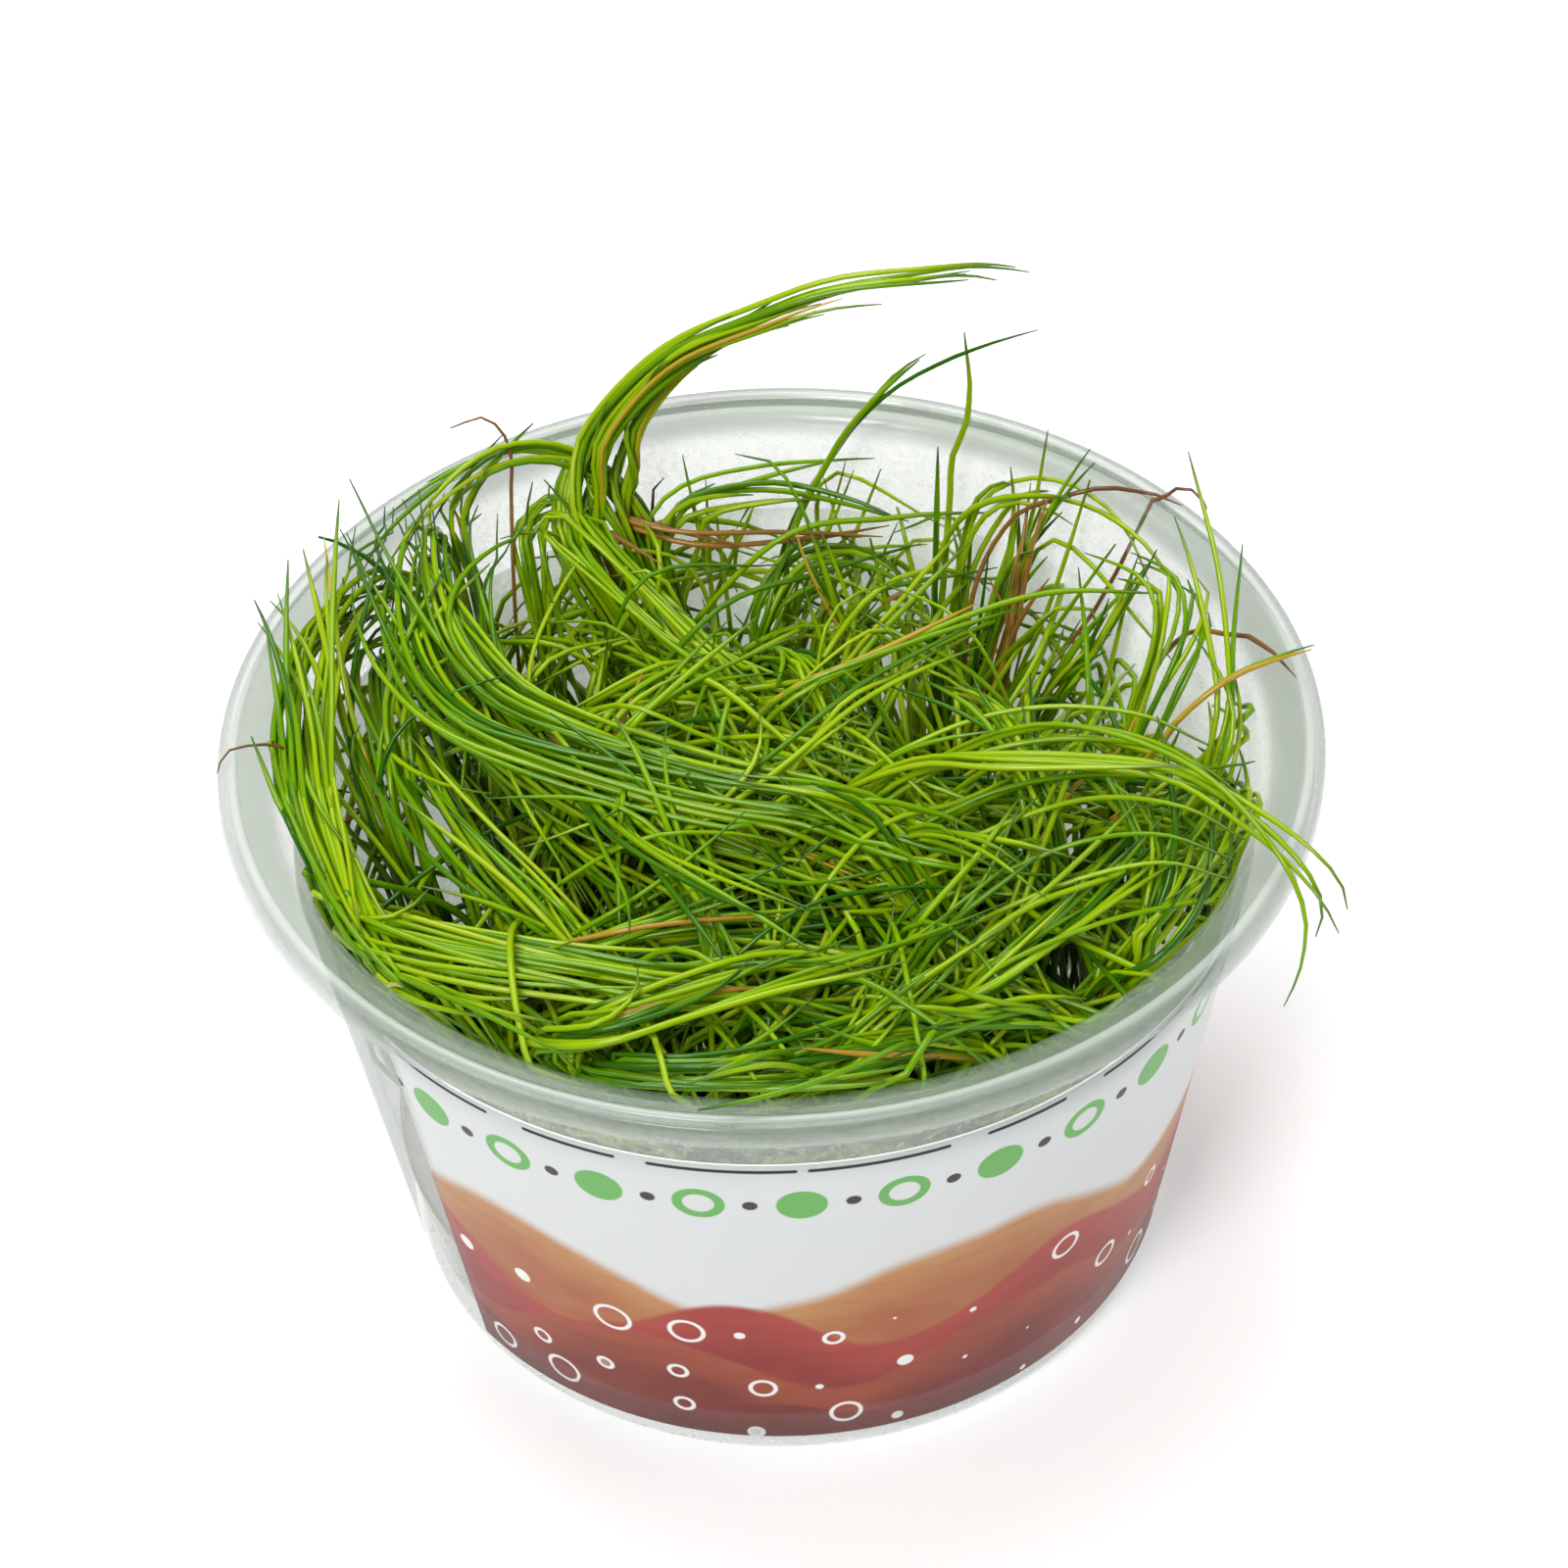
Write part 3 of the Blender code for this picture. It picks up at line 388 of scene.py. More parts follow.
# Blades: waxy green that goes from pale at the crown to dark blue-green at the tip
def blade_material():
    made, tree, shader = new_material("hairgrass_blade")
    along = node(tree, "ShaderNodeAttribute", attribute_name="along").outputs["Fac"]
    tone = node(tree, "ShaderNodeAttribute", attribute_name="tone").outputs["Fac"]
    age = node(tree, "ShaderNodeAttribute", attribute_name="age").outputs["Fac"]
    place = node(tree, "ShaderNodeTexCoord").outputs["Object"]
    mottle = node(tree, "ShaderNodeTexNoise", {"Vector": place, "Scale": 160.0, "Detail": 2.0})
    shifted = calc(tree, "MULTIPLY_ADD", mottle.outputs["Fac"], 0.3, -0.15)
    shifted = calc(tree, "ADD", tone, shifted)
    greens = node(tree, "ShaderNodeValToRGB", {"Fac": shifted})
    ramp = greens.color_ramp
    ramp.elements[0].position = 0.0
    ramp.elements[0].color = (0.030, 0.140, 0.002, 1)
    ramp.elements[1].position = 1.0
    ramp.elements[1].color = (0.42, 0.54, 0.014, 1)
    for at, color in ((0.3, (0.160, 0.355, 0.001, 1)), (0.65, (0.335, 0.52, 0.002, 1))):
        ramp.elements.new(at).color = color
    pale = fade(tree, along, 0.18, 0.0)
    color = blend_colors(tree, calc(tree, "MULTIPLY", pale, 0.40), greens.outputs["Color"],
                         (0.50, 0.60, 0.05, 1))
    # painted shade: the blades are painted deeper green low down and in the front half, in the
    # thick of the grass, where no light reaches
    split = node(tree, "ShaderNodeSeparateXYZ", {"Vector": place})
    painted_shade = calc(tree, "MULTIPLY", fade(tree, split.outputs["Z"], 0.0475, 0.036),
                fade(tree, split.outputs["Y"], 0.020, 0.002))
    color = blend_colors(tree, calc(tree, "MULTIPLY", painted_shade, 0.72), color,
                         (0.020, 0.090, 0.001, 1))
    dark = fade(tree, along, 0.88, 0.99)
    color = blend_colors(tree, calc(tree, "MULTIPLY", dark, 0.72), color,
                         (0.010, 0.085, 0.018, 1))
    # an old blade is driest at its end
    age = calc(tree, "MULTIPLY", age, calc(tree, "MULTIPLY_ADD", fade(tree, along, 0.25, 0.85),
                                           0.40, 0.66))
    dry = node(tree, "ShaderNodeValToRGB", {"Fac": age})
    dry.color_ramp.elements[0].position = 0.35
    dry.color_ramp.elements[0].color = (0.56, 0.46, 0.02, 1)
    dry.color_ramp.elements[1].position = 1.0
    dry.color_ramp.elements[1].color = (0.13, 0.050, 0.030, 1)
    dry.color_ramp.elements.new(0.7).color = (0.48, 0.23, 0.040, 1)
    color = blend_colors(tree, fade(tree, age, 0.15, 0.5), color, dry.outputs["Color"])
    tree.links.new(color, shader.inputs["Base Color"])
    shader.inputs["Roughness"].default_value = 0.14
    shader.inputs["IOR"].default_value = 1.38
    ribs = node(tree, "ShaderNodeTexNoise", {"Vector": place, "Scale": 900.0, "Detail": 1.0})
    bump = node(tree, "ShaderNodeBump", {"Height": ribs.outputs["Fac"], "Strength": 0.10,
                                         "Distance": 0.0002})
    tree.links.new(bump.outputs["Normal"], shader.inputs["Normal"])
    return made


# Cup plastic: milky, with faint moulding marks; the rim, where the plastic is thick, is painted
# green for the grass light seen through it, and the bead's crest carries a painted highlight
def cup_material():
    made, tree, shader = new_material("milky_cup_plastic")
    place = node(tree, "ShaderNodeTexCoord").outputs["Object"]
    cloud = node(tree, "ShaderNodeTexNoise", {"Vector": place, "Scale": 45.0, "Detail": 3.0})
    split = node(tree, "ShaderNodeSeparateXYZ", {"Vector": place})
    height = split.outputs["Z"]
    around = calc(tree, "SQRT", calc(tree, "ADD", calc(
        tree, "MULTIPLY", split.outputs["X"], split.outputs["X"]), calc(
        tree, "MULTIPLY", split.outputs["Y"], split.outputs["Y"])))
    thin = blend_colors(tree, cloud.outputs["Fac"], (0.80, 0.83, 0.81, 1), (0.88, 0.90, 0.88, 1))
    # painted light: the dark green of the rim stands in for light from the grass seen through the
    # plastic; the bead's grey-green is partly its own milky tone, partly the same painted green
    green = blend_colors(tree, cloud.outputs["Fac"], (0.09, 0.18, 0.07, 1), (0.16, 0.25, 0.13, 1))
    bead = blend_colors(tree, cloud.outputs["Fac"], (0.20, 0.27, 0.20, 1), (0.30, 0.36, 0.30, 1))
    outer = fade(tree, around, 0.0478, 0.0486)
    rim_tone_and_painted_light = blend_colors(tree, outer, green, bead)
    # painted highlight: a thin paler line along the crest of the bead
    crest = calc(tree, "ABSOLUTE", calc(tree, "SUBTRACT", around, 0.0486))
    crest = calc(tree, "MULTIPLY", fade(tree, crest, 0.0010, 0.00015),
                 fade(tree, height, 0.0576, 0.0580))
    rim_tone_and_painted_light = blend_colors(tree, crest, rim_tone_and_painted_light, (0.66, 0.73, 0.66, 1))
    rim = fade(tree, height, 0.0550, 0.0570)
    drops = node(tree, "ShaderNodeTexVoronoi", {"Vector": place, "Scale": 900.0})
    beads = fade(tree, drops.outputs["Distance"], 0.42, 0.10)
    misted = calc(tree, "MULTIPLY", beads, fade(tree, height, 0.057, 0.054))
    thin = blend_colors(tree, misted, thin, (0.92, 0.94, 0.92, 1))
    color = blend_colors(tree, rim, thin, rim_tone_and_painted_light)
    tree.links.new(color, shader.inputs["Base Color"])
    milky = calc(tree, "MULTIPLY_ADD", cloud.outputs["Fac"], 0.08, 0.23)
    milky = calc(tree, "MULTIPLY_ADD", rim, 0.13, milky)
    milky = calc(tree, "MULTIPLY_ADD", misted, 0.12, milky)
    # the painted highlight on the bead's crest is made more opaque too
    milky = calc(tree, "MULTIPLY_ADD", crest, 0.15, milky)
    tree.links.new(calc(tree, "MULTIPLY_ADD", outer, 0.05, milky), shader.inputs["Alpha"])
    shader.inputs["IOR"].default_value = 1.54
    rough = calc(tree, "MULTIPLY_ADD", misted, -0.05, 0.17)
    tree.links.new(rough, shader.inputs["Roughness"])
    bump = node(tree, "ShaderNodeBump", {"Height": misted, "Strength": 0.12, "Distance": 0.0003})
    tree.links.new(bump.outputs["Normal"], shader.inputs["Normal"])
    return made


def gel_material():
    made, tree, shader = new_material("nutrient_gel_clear")
    place = node(tree, "ShaderNodeTexCoord").outputs["Object"]
    haze = node(tree, "ShaderNodeTexNoise", {"Vector": place, "Scale": 60.0, "Detail": 2.0})
    color = blend_colors(tree, haze.outputs["Fac"], (0.86, 0.84, 0.70, 1), (0.93, 0.92, 0.84, 1))
    tree.links.new(color, shader.inputs["Base Color"])
    rough = calc(tree, "MULTIPLY_ADD", haze.outputs["Fac"], 0.10, 0.06)
    tree.links.new(rough, shader.inputs["Roughness"])
    shader.inputs["IOR"].default_value = 1.34
    shader.inputs["Transmission Weight"].default_value = 0.85
    bump = node(tree, "ShaderNodeBump", {"Height": haze.outputs["Fac"], "Strength": 0.15,
                                         "Distance": 0.0006})
    tree.links.new(bump.outputs["Normal"], shader.inputs["Normal"])
    return made


# Label print: U runs along the band and V up it, both in millimetres
def bar_row_group():
    """A mask of round-ended bars along U, used for the thin dark broken line."""
    group = bpy.data.node_groups.new("bar_row", "ShaderNodeTree")
    for name in ("U", "V", "Pitch", "Fill", "Middle", "Half Height"):
        group.interface.new_socket(name, in_out="INPUT", socket_type="NodeSocketFloat")
    group.interface.new_socket("Mask", in_out="OUTPUT", socket_type="NodeSocketFloat")
    start = group.nodes.new("NodeGroupInput").outputs
    end = group.nodes.new("NodeGroupOutput").inputs
    turns = calc(group, "DIVIDE", start["U"], start["Pitch"])
    cell = calc(group, "FLOOR", turns)
    random = node(group, "ShaderNodeTexWhiteNoise", {"W": cell}, noise_dimensions="1D")
    inside = calc(group, "SUBTRACT", calc(group, "FRACT", turns), 0.5)
    away = calc(group, "MULTIPLY", calc(group, "ABSOLUTE", inside), start["Pitch"])
    half = calc(group, "MULTIPLY", start["Pitch"], start["Fill"])
    half = calc(group, "MULTIPLY", half, calc(group, "MULTIPLY_ADD", random.outputs["Value"],
                                               0.45, 0.62))
    side = calc(group, "MAXIMUM", calc(group, "SUBTRACT", away,
                                       calc(group, "SUBTRACT", half, start["Half Height"])), 0.0)
    rise = calc(group, "ABSOLUTE", calc(group, "SUBTRACT", start["V"], start["Middle"]))
    far = calc(group, "SQRT", calc(group, "ADD", calc(group, "MULTIPLY", side, side),
                                   calc(group, "MULTIPLY", rise, rise)))
    over = calc(group, "SUBTRACT", far, start["Half Height"])
    group.links.new(fade(group, over, 0.08, -0.08), end["Mask"])
    return group


def label_material():
    made, tree, shader = new_material("printed_label_film")
    uv = node(tree, "ShaderNodeTexCoord").outputs["UV"]
    split = node(tree, "ShaderNodeSeparateXYZ", {"Vector": uv})
    u = calc(tree, "MULTIPLY", split.outputs["X"], LABEL_LENGTH)
    v = calc(tree, "MULTIPLY", split.outputs["Y"], LABEL_HIGH - LABEL_LOW)

    def cloud(across, up, scale, detail=2.0, seed=0.0):
        """Noise stretched along U and V."""
        place = node(tree, "ShaderNodeCombineXYZ", {
            "X": calc(tree, "MULTIPLY", u, across), "Y": calc(tree, "MULTIPLY", v, up),
            "Z": seed})
        made_noise = node(tree, "ShaderNodeTexNoise", {
            "Vector": place.outputs["Vector"], "Scale": scale, "Detail": detail})
        return made_noise.outputs["Fac"]

    ground = blend_colors(tree, cloud(0.02, 0.05, 1.0), (0.64, 0.66, 0.66, 1),
                          (0.70, 0.72, 0.72, 1))

    def length_in_plane(across, up):
        """Distance of a place from the origin of two offsets."""
        return calc(tree, "SQRT", calc(tree, "ADD", calc(tree, "MULTIPLY", across, across),
                                       calc(tree, "MULTIPLY", up, up)))

    # rolling hills in soft washes, one behind the other; the back panel stays plain
    color = ground
    wash = fade(tree, cloud(0.16, 0.22, 1.0, 4.0, 21.0), 0.30, 0.70)
    streak = fade(tree, cloud(0.10, 0.55, 1.0, 3.0, 33.0), 0.35, 0.75)
    sunk = calc(tree, "MULTIPLY_ADD", fade(tree, u, 138.0, 112.0), 42.0, -42.0)
    for middle, swing, pitch, shift, soft, lit, shaded in HILLS:
        slope = calc(tree, "SINE", calc(tree, "MULTIPLY_ADD", u, 2 * math.pi / pitch, shift))
        crest = calc(tree, "MULTIPLY_ADD", slope, swing, middle - 3.5)
        crest = calc(tree, "MULTIPLY_ADD", cloud(0.06, 0.0, 1.0, 1.0, 7.0 * shift), 7.0, crest)
        under = calc(tree, "SUBTRACT", calc(tree, "ADD", crest, sunk), v)
        hue = blend_colors(tree, calc(tree, "MULTIPLY", fade(tree, under, 0.0, 8.0), 0.85),
                           lit, shaded)
        hue = blend_colors(tree, calc(tree, "MULTIPLY", wash, 0.34), hue, lit)
        hue = blend_colors(tree, calc(tree, "MULTIPLY", streak, 0.30), hue, shaded)
        color = blend_colors(tree, fade(tree, under, -soft, soft), color, hue)
    # green discs and hoops by turns, a dark dot between two, a thin broken line over them
    turns = calc(tree, "DIVIDE", u, 8.4)
    across = calc(tree, "MULTIPLY", calc(tree, "SUBTRACT", calc(tree, "FRACT", turns), 0.5), 8.4)
    up = calc(tree, "SUBTRACT", v, 38.4)
    far = length_in_plane(across, up)
    disc = fade(tree, far, 2.20, 2.00)
    hoop = fade(tree, calc(tree, "ABSOLUTE", calc(tree, "SUBTRACT", far, 1.75)), 0.52, 0.36)
    half_turns = calc(tree, "FRACT", calc(tree, "MULTIPLY", calc(tree, "FLOOR", turns), 0.5))
    green = calc(tree, "ADD", calc(tree, "MULTIPLY", disc, fade(tree, half_turns, 0.3, 0.2)),
                 calc(tree, "MULTIPLY", hoop, fade(tree, half_turns, 0.2, 0.3)))
    color = blend_colors(tree, green, color, (0.135, 0.42, 0.10, 1))
    beside = calc(tree, "SUBTRACT", calc(tree, "ABSOLUTE", across), 4.2)
    dot = fade(tree, length_in_plane(beside, up), 0.72, 0.56)
    line = node(tree, "ShaderNodeGroup", {"U": u, "V": v}, node_tree=bar_row_group())
    for name, value in zip(("Pitch", "Fill", "Middle", "Half Height"), (12.6, 0.47, 43.6, 0.24)):
        line.inputs[name].default_value = value
    dark = calc(tree, "MAXIMUM", dot, line.outputs["Mask"])
    color = blend_colors(tree, dark, color, (0.035, 0.035, 0.035, 1))
    # white bubbles of different sizes, strewn over the hills
    place = node(tree, "ShaderNodeCombineXYZ", {"X": u, "Y": v}).outputs["Vector"]
    strewn = node(tree, "ShaderNodeTexVoronoi", {"Vector": place, "Scale": 1 / 7.5,
                                                 "Randomness": 0.62}, voronoi_dimensions="2D")
    chance = node(tree, "ShaderNodeSeparateXYZ", {"Vector": strewn.outputs["Color"]}).outputs["X"]
    size = calc(tree, "MULTIPLY_ADD", chance, 2.3, -0.35)
    off = calc(tree, "SUBTRACT", calc(tree, "MULTIPLY", strewn.outputs["Distance"], 7.5), size)
    full = fade(tree, off, 0.10, -0.10)
    hollow = calc(tree, "MULTIPLY", fade(tree, off, -0.34, -0.50), fade(tree, size, 0.9, 1.0))
    white = calc(tree, "SUBTRACT", full, hollow)
    white = calc(tree, "MULTIPLY", white, fade(tree, v, 21.5, 20.0))
    white = calc(tree, "MULTIPLY", white, fade(tree, u, 118.0, 112.0))
    color = blend_colors(tree, white, color, (0.86, 0.85, 0.82, 1))
    tree.links.new(color, shader.inputs["Base Color"])
    grain = cloud(3.0, 3.0, 1.0, 3.0, 5.0)
    rough = calc(tree, "MULTIPLY_ADD", grain, 0.14, 0.30)
    tree.links.new(rough, shader.inputs["Roughness"])
    shader.inputs["Transmission Weight"].default_value = 0.12
    shader.inputs["IOR"].default_value = 1.30
    bump = node(tree, "ShaderNodeBump", {"Height": grain, "Strength": 0.06, "Distance": 0.0002})
    tree.links.new(bump.outputs["Normal"], shader.inputs["Normal"])
    return made


def label_back_material():
    """The unprinted side of the film, white with a little glue haze."""
    made, tree, shader = new_material("label_film_back")
    place = node(tree, "ShaderNodeTexCoord").outputs["Object"]
    haze = node(tree, "ShaderNodeTexNoise", {"Vector": place, "Scale": 70.0, "Detail": 2.0})
    color = blend_colors(tree, haze.outputs["Fac"], (0.88, 0.89, 0.885, 1), (0.94, 0.94, 0.935, 1))
    tree.links.new(color, shader.inputs["Base Color"])
    shader.inputs["Roughness"].default_value = 0.5
    shader.inputs["IOR"].default_value = 1.30
    # painted glow: an emission that stands in for daylight coming through the film
    shader.inputs["Emission Color"].default_value = (0.97, 1.0, 0.99, 1)
    shader.inputs["Emission Strength"].default_value = 0.42
    return made


LABEL_MIDDLE = BASE_RADIUS + (NECK_RADIUS - BASE_RADIUS) * 25.0 / NECK_HEIGHT
LABEL_LENGTH = 2 * math.pi * LABEL_MIDDLE * LABEL_TURN / 360.0


# Turned pieces
def eased(outline, softness):
    """Round the corners of an outline; softness is the reach of each rounding in mm."""
    soft = [outline[0]]
    for before, corner, after, reach in zip(outline, outline[1:], outline[2:], softness):
        if reach <= 0:
            soft.append(corner)
            continue
        here = Vector(corner)
        into = Vector(before) - here
        out = Vector(after) - here
        start = here + into.normalized() * min(reach, into.length * 0.48)
        end = here + out.normalized() * min(reach, out.length * 0.48)
        for t in (0.0, 0.25, 0.5, 0.75, 1.0):
            soft.append(tuple(start * (1 - t) ** 2 + here * 2 * t * (1 - t) + end * t * t))
    soft.append(outline[-1])
    return soft


def turned_piece(name, outline, steps, surface):
    """Spin an outline of (radius, height) about the Z axis into one closed mesh."""
    body = bmesh.new()
    verts = [body.verts.new((r * MM, 0.0, z * MM)) for r, z in outline]
    edges = [body.edges.new(pair) for pair in zip(verts, verts[1:])]
    bmesh.ops.spin(body, geom=verts + edges, cent=(0, 0, 0), axis=(0, 0, 1),
                   angle=2 * math.pi, steps=steps, use_merge=True, use_duplicate=False)
    bmesh.ops.remove_doubles(body, verts=body.verts, dist=1e-6)
    bmesh.ops.recalc_face_normals(body, faces=body.faces)
    for face in body.faces:
        face.smooth = True
    mesh = bpy.data.meshes.new(name)
    body.to_mesh(mesh)
    body.free()
    mesh.materials.append(surface)
    made = bpy.data.objects.new(name, mesh)
    bpy.context.scene.collection.objects.link(made)
    return made


def wall_outside(height):
    return BASE_RADIUS + (NECK_RADIUS - BASE_RADIUS) * height / NECK_HEIGHT


def make_cup():
    outline = [
        (0.0, FLOOR),
        (wall_outside(2.0) - WALL - 0.6, FLOOR),
        (wall_inside(55.2), 55.2),
        (LIP_RADIUS - 0.25, 57.7),
        (47.3, 57.90),
        (48.0, 57.62),
        (48.35, 58.1),
        (48.85, 58.1),
        (49.15, 57.82),
        (49.7, 57.78),
        (RIM_RADIUS, 57.3),
        (RIM_RADIUS, 55.7),
        (RIM_RADIUS - 0.7, 55.7),
        (RIM_RADIUS - 0.9, 57.0),
        (46.4, 57.0),
        (NECK_RADIUS, NECK_HEIGHT),
        (wall_outside(0.0), 0.0),
        (33.5, 0.0),
        (33.0, 0.12),
        (0.0, 0.12),
    ]
    softness = [1.3, 1.6, 0.9, 0.5, 0.30, 0.26, 0.24, 0.2, 0.25, 0.3, 0.25, 0.25, 0.3, 0.8, 0.8,
                0.9, 0.2, 0.2]
    made = turned_piece("cup_moulding", eased(outline, softness), 160, cup_material())
    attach(made, "root")
    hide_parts("cup")
    return made


def make_gel():
    edge = wall_inside(GEL_TOP) - 0.12
    outline = [
        (0.0, GEL_TOP),
        (edge - 2.6, GEL_TOP),
        (edge + 0.12, GEL_TOP + 0.8),
        (wall_inside(2.2) - 0.15, 2.2),
        (wall_inside(2.0) - 1.6, FLOOR + 0.15),
        (0.0, FLOOR + 0.15),
    ]
    made = turned_piece("gel_clear", eased(outline, [2.4, 0.3, 1.0, 1.0]), 120, gel_material())
    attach(made, "root")
    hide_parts("gel")
    return made


def make_label():
    """A flat grid bent round the wall, then thickened; the side to the cup is unprinted."""
    sheet = bmesh.new()
    sheet.loops.layers.uv.new("UVMap")
    bmesh.ops.create_grid(sheet, x_segments=150, y_segments=10, size=0.5, calc_uvs=True)
    for vert in sheet.verts:
        turn = math.radians(LABEL_START + (vert.co.x + 0.5) * LABEL_TURN)
        height = LABEL_LOW + (vert.co.y + 0.5) * (LABEL_HIGH - LABEL_LOW)
        radius = wall_outside(height) + 0.10
        vert.co = (radius * math.cos(turn) * MM, radius * math.sin(turn) * MM, height * MM)
    bmesh.ops.recalc_face_normals(sheet, faces=sheet.faces)
    bmesh.ops.solidify(sheet, geom=sheet.faces[:], thickness=0.16 * MM)
    bmesh.ops.recalc_face_normals(sheet, faces=sheet.faces)
    for face in sheet.faces:
        face.smooth = True
        out = Vector((face.calc_center_median().x, face.calc_center_median().y, 0.0))
        face.material_index = 0 if face.normal.dot(out.normalized()) > 0.5 else 1
    mesh = bpy.data.meshes.new("label_band")
    sheet.to_mesh(mesh)
    sheet.free()
    mesh.materials.append(label_material())
    mesh.materials.append(label_back_material())
    made = bpy.data.objects.new("label_band", mesh)
    bpy.context.scene.collection.objects.link(made)
    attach(made, "root")
    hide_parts("label")
    return made


# Grass
def smooth_path(points, count):
    """Even points along a smooth curve through the given ones."""
    given = np.array(points, float)
    ends = np.vstack([2 * given[0] - given[1], given, 2 * given[-1] - given[-2]])
    t = np.linspace(0, 1, 10, endpoint=False)[:, None]
    fine = []
    for i in range(1, len(ends) - 2):
        a, b, c, d = ends[i - 1 : i + 3]
        fine.append(0.5 * (2 * b + (c - a) * t + (2 * a - 5 * b + 4 * c - d) * t * t
                           + (3 * b - a - 3 * c + d) * t**3))
    fine = np.vstack([*fine, given[-1:]])
    run = np.concatenate([[0], np.cumsum(np.linalg.norm(np.diff(fine, axis=0), axis=1))])
    even = np.linspace(0, run[-1], count)
    return np.stack([np.interp(even, run, fine[:, k]) for k in range(3)], axis=1)


def length_of(path):
    return float(np.linalg.norm(np.diff(path, axis=0), axis=1).sum())


def kept_in_cup(path, thick, over_rim):
    """Keep a blade off the wall, the lip and the rim, and inside unless it hangs over."""
    path = path.copy()
    for i, (x, y, z) in enumerate(path):
        reach = math.hypot(x, y)
        most = (wall_inside(z) if z < 56 else 44.5 + (z - 56) * 0.55) - thick - 0.2
        if reach > most and (not over_rim or (reach < 47.0 and z < CUP_HEIGHT)):
            path[i, 0] *= most / reach
            path[i, 1] *= most / reach
        elif reach > 45.0 and reach < 50.3 + thick and z < CUP_HEIGHT + 0.2 + thick:
            path[i, 2] = CUP_HEIGHT + 0.2 + thick
    return path


def blade(path, thick, tone, age, tip=0.22, spacing=2.6, over_rim=False):
    """One blade: evenly spaced points, a half-thickness at each, and its colouring."""
    count = int(np.clip(round(length_of(path) / spacing), 7, 48)) + 1
    path = kept_in_cup(smooth_path(path, count), thick, over_rim)
    s = np.linspace(0, 1, len(path))
    # few points low down, where a blade is nearly straight and out of sight
    keep = (path[:, 2] > 38.0) | (np.arange(len(path)) % 3 == 0) | (s == 1.0)
    path, s = path[keep], s[keep]
    width = thick * (0.90 + 0.10 * np.sin(s * math.pi))
    width *= np.clip((1 - s) / 0.16, 0, 1) ** 0.7 * (1 - tip) + tip
    return path, width, s, tone, age


def in_a_gap(path):
    """Whether a blade would close one of the gaps, seen from the front."""
    for x, y, half_width in GAPS:
        line = np.array((x, y, 50.0)) - EYE
        line /= np.linalg.norm(line)
        away = path[path[:, 2] > 20.0] - EYE
        off = away - (away @ line)[:, None] * line
        if len(off) and np.linalg.norm(off, axis=1).min() < half_width:
            return True
    return False


def rooted_far_off(noise, path):
    """Give a blade that runs up a lock its root under the far end and a free tip on top."""
    out = path[0] - path[3]
    out /= np.linalg.norm(out)
    foot = path[0] + out * noise.uniform(6, 12) + (*noise.normal(0, 2.5, 2), 0.0)
    foot[:2] *= min(1.0, 32.0 / np.linalg.norm(foot[:2]))
    foot[2] = GEL_TOP - 2.0
    dive = path[0] * 0.66 + foot * 0.34 + out * 3.0
    way = path[-1] - path[-4]
    way = way / np.linalg.norm(way) * 0.55 + (0, 0, 0.60) + noise.normal(0, 0.20, 3)
    far = noise.uniform(1.5, 6.5)
    tip = path[-1] + way * far + (0, 0, -0.012 * far**2)
    return np.vstack([foot, dive, path[1:], path[-1] + way * far * 0.5, tip])


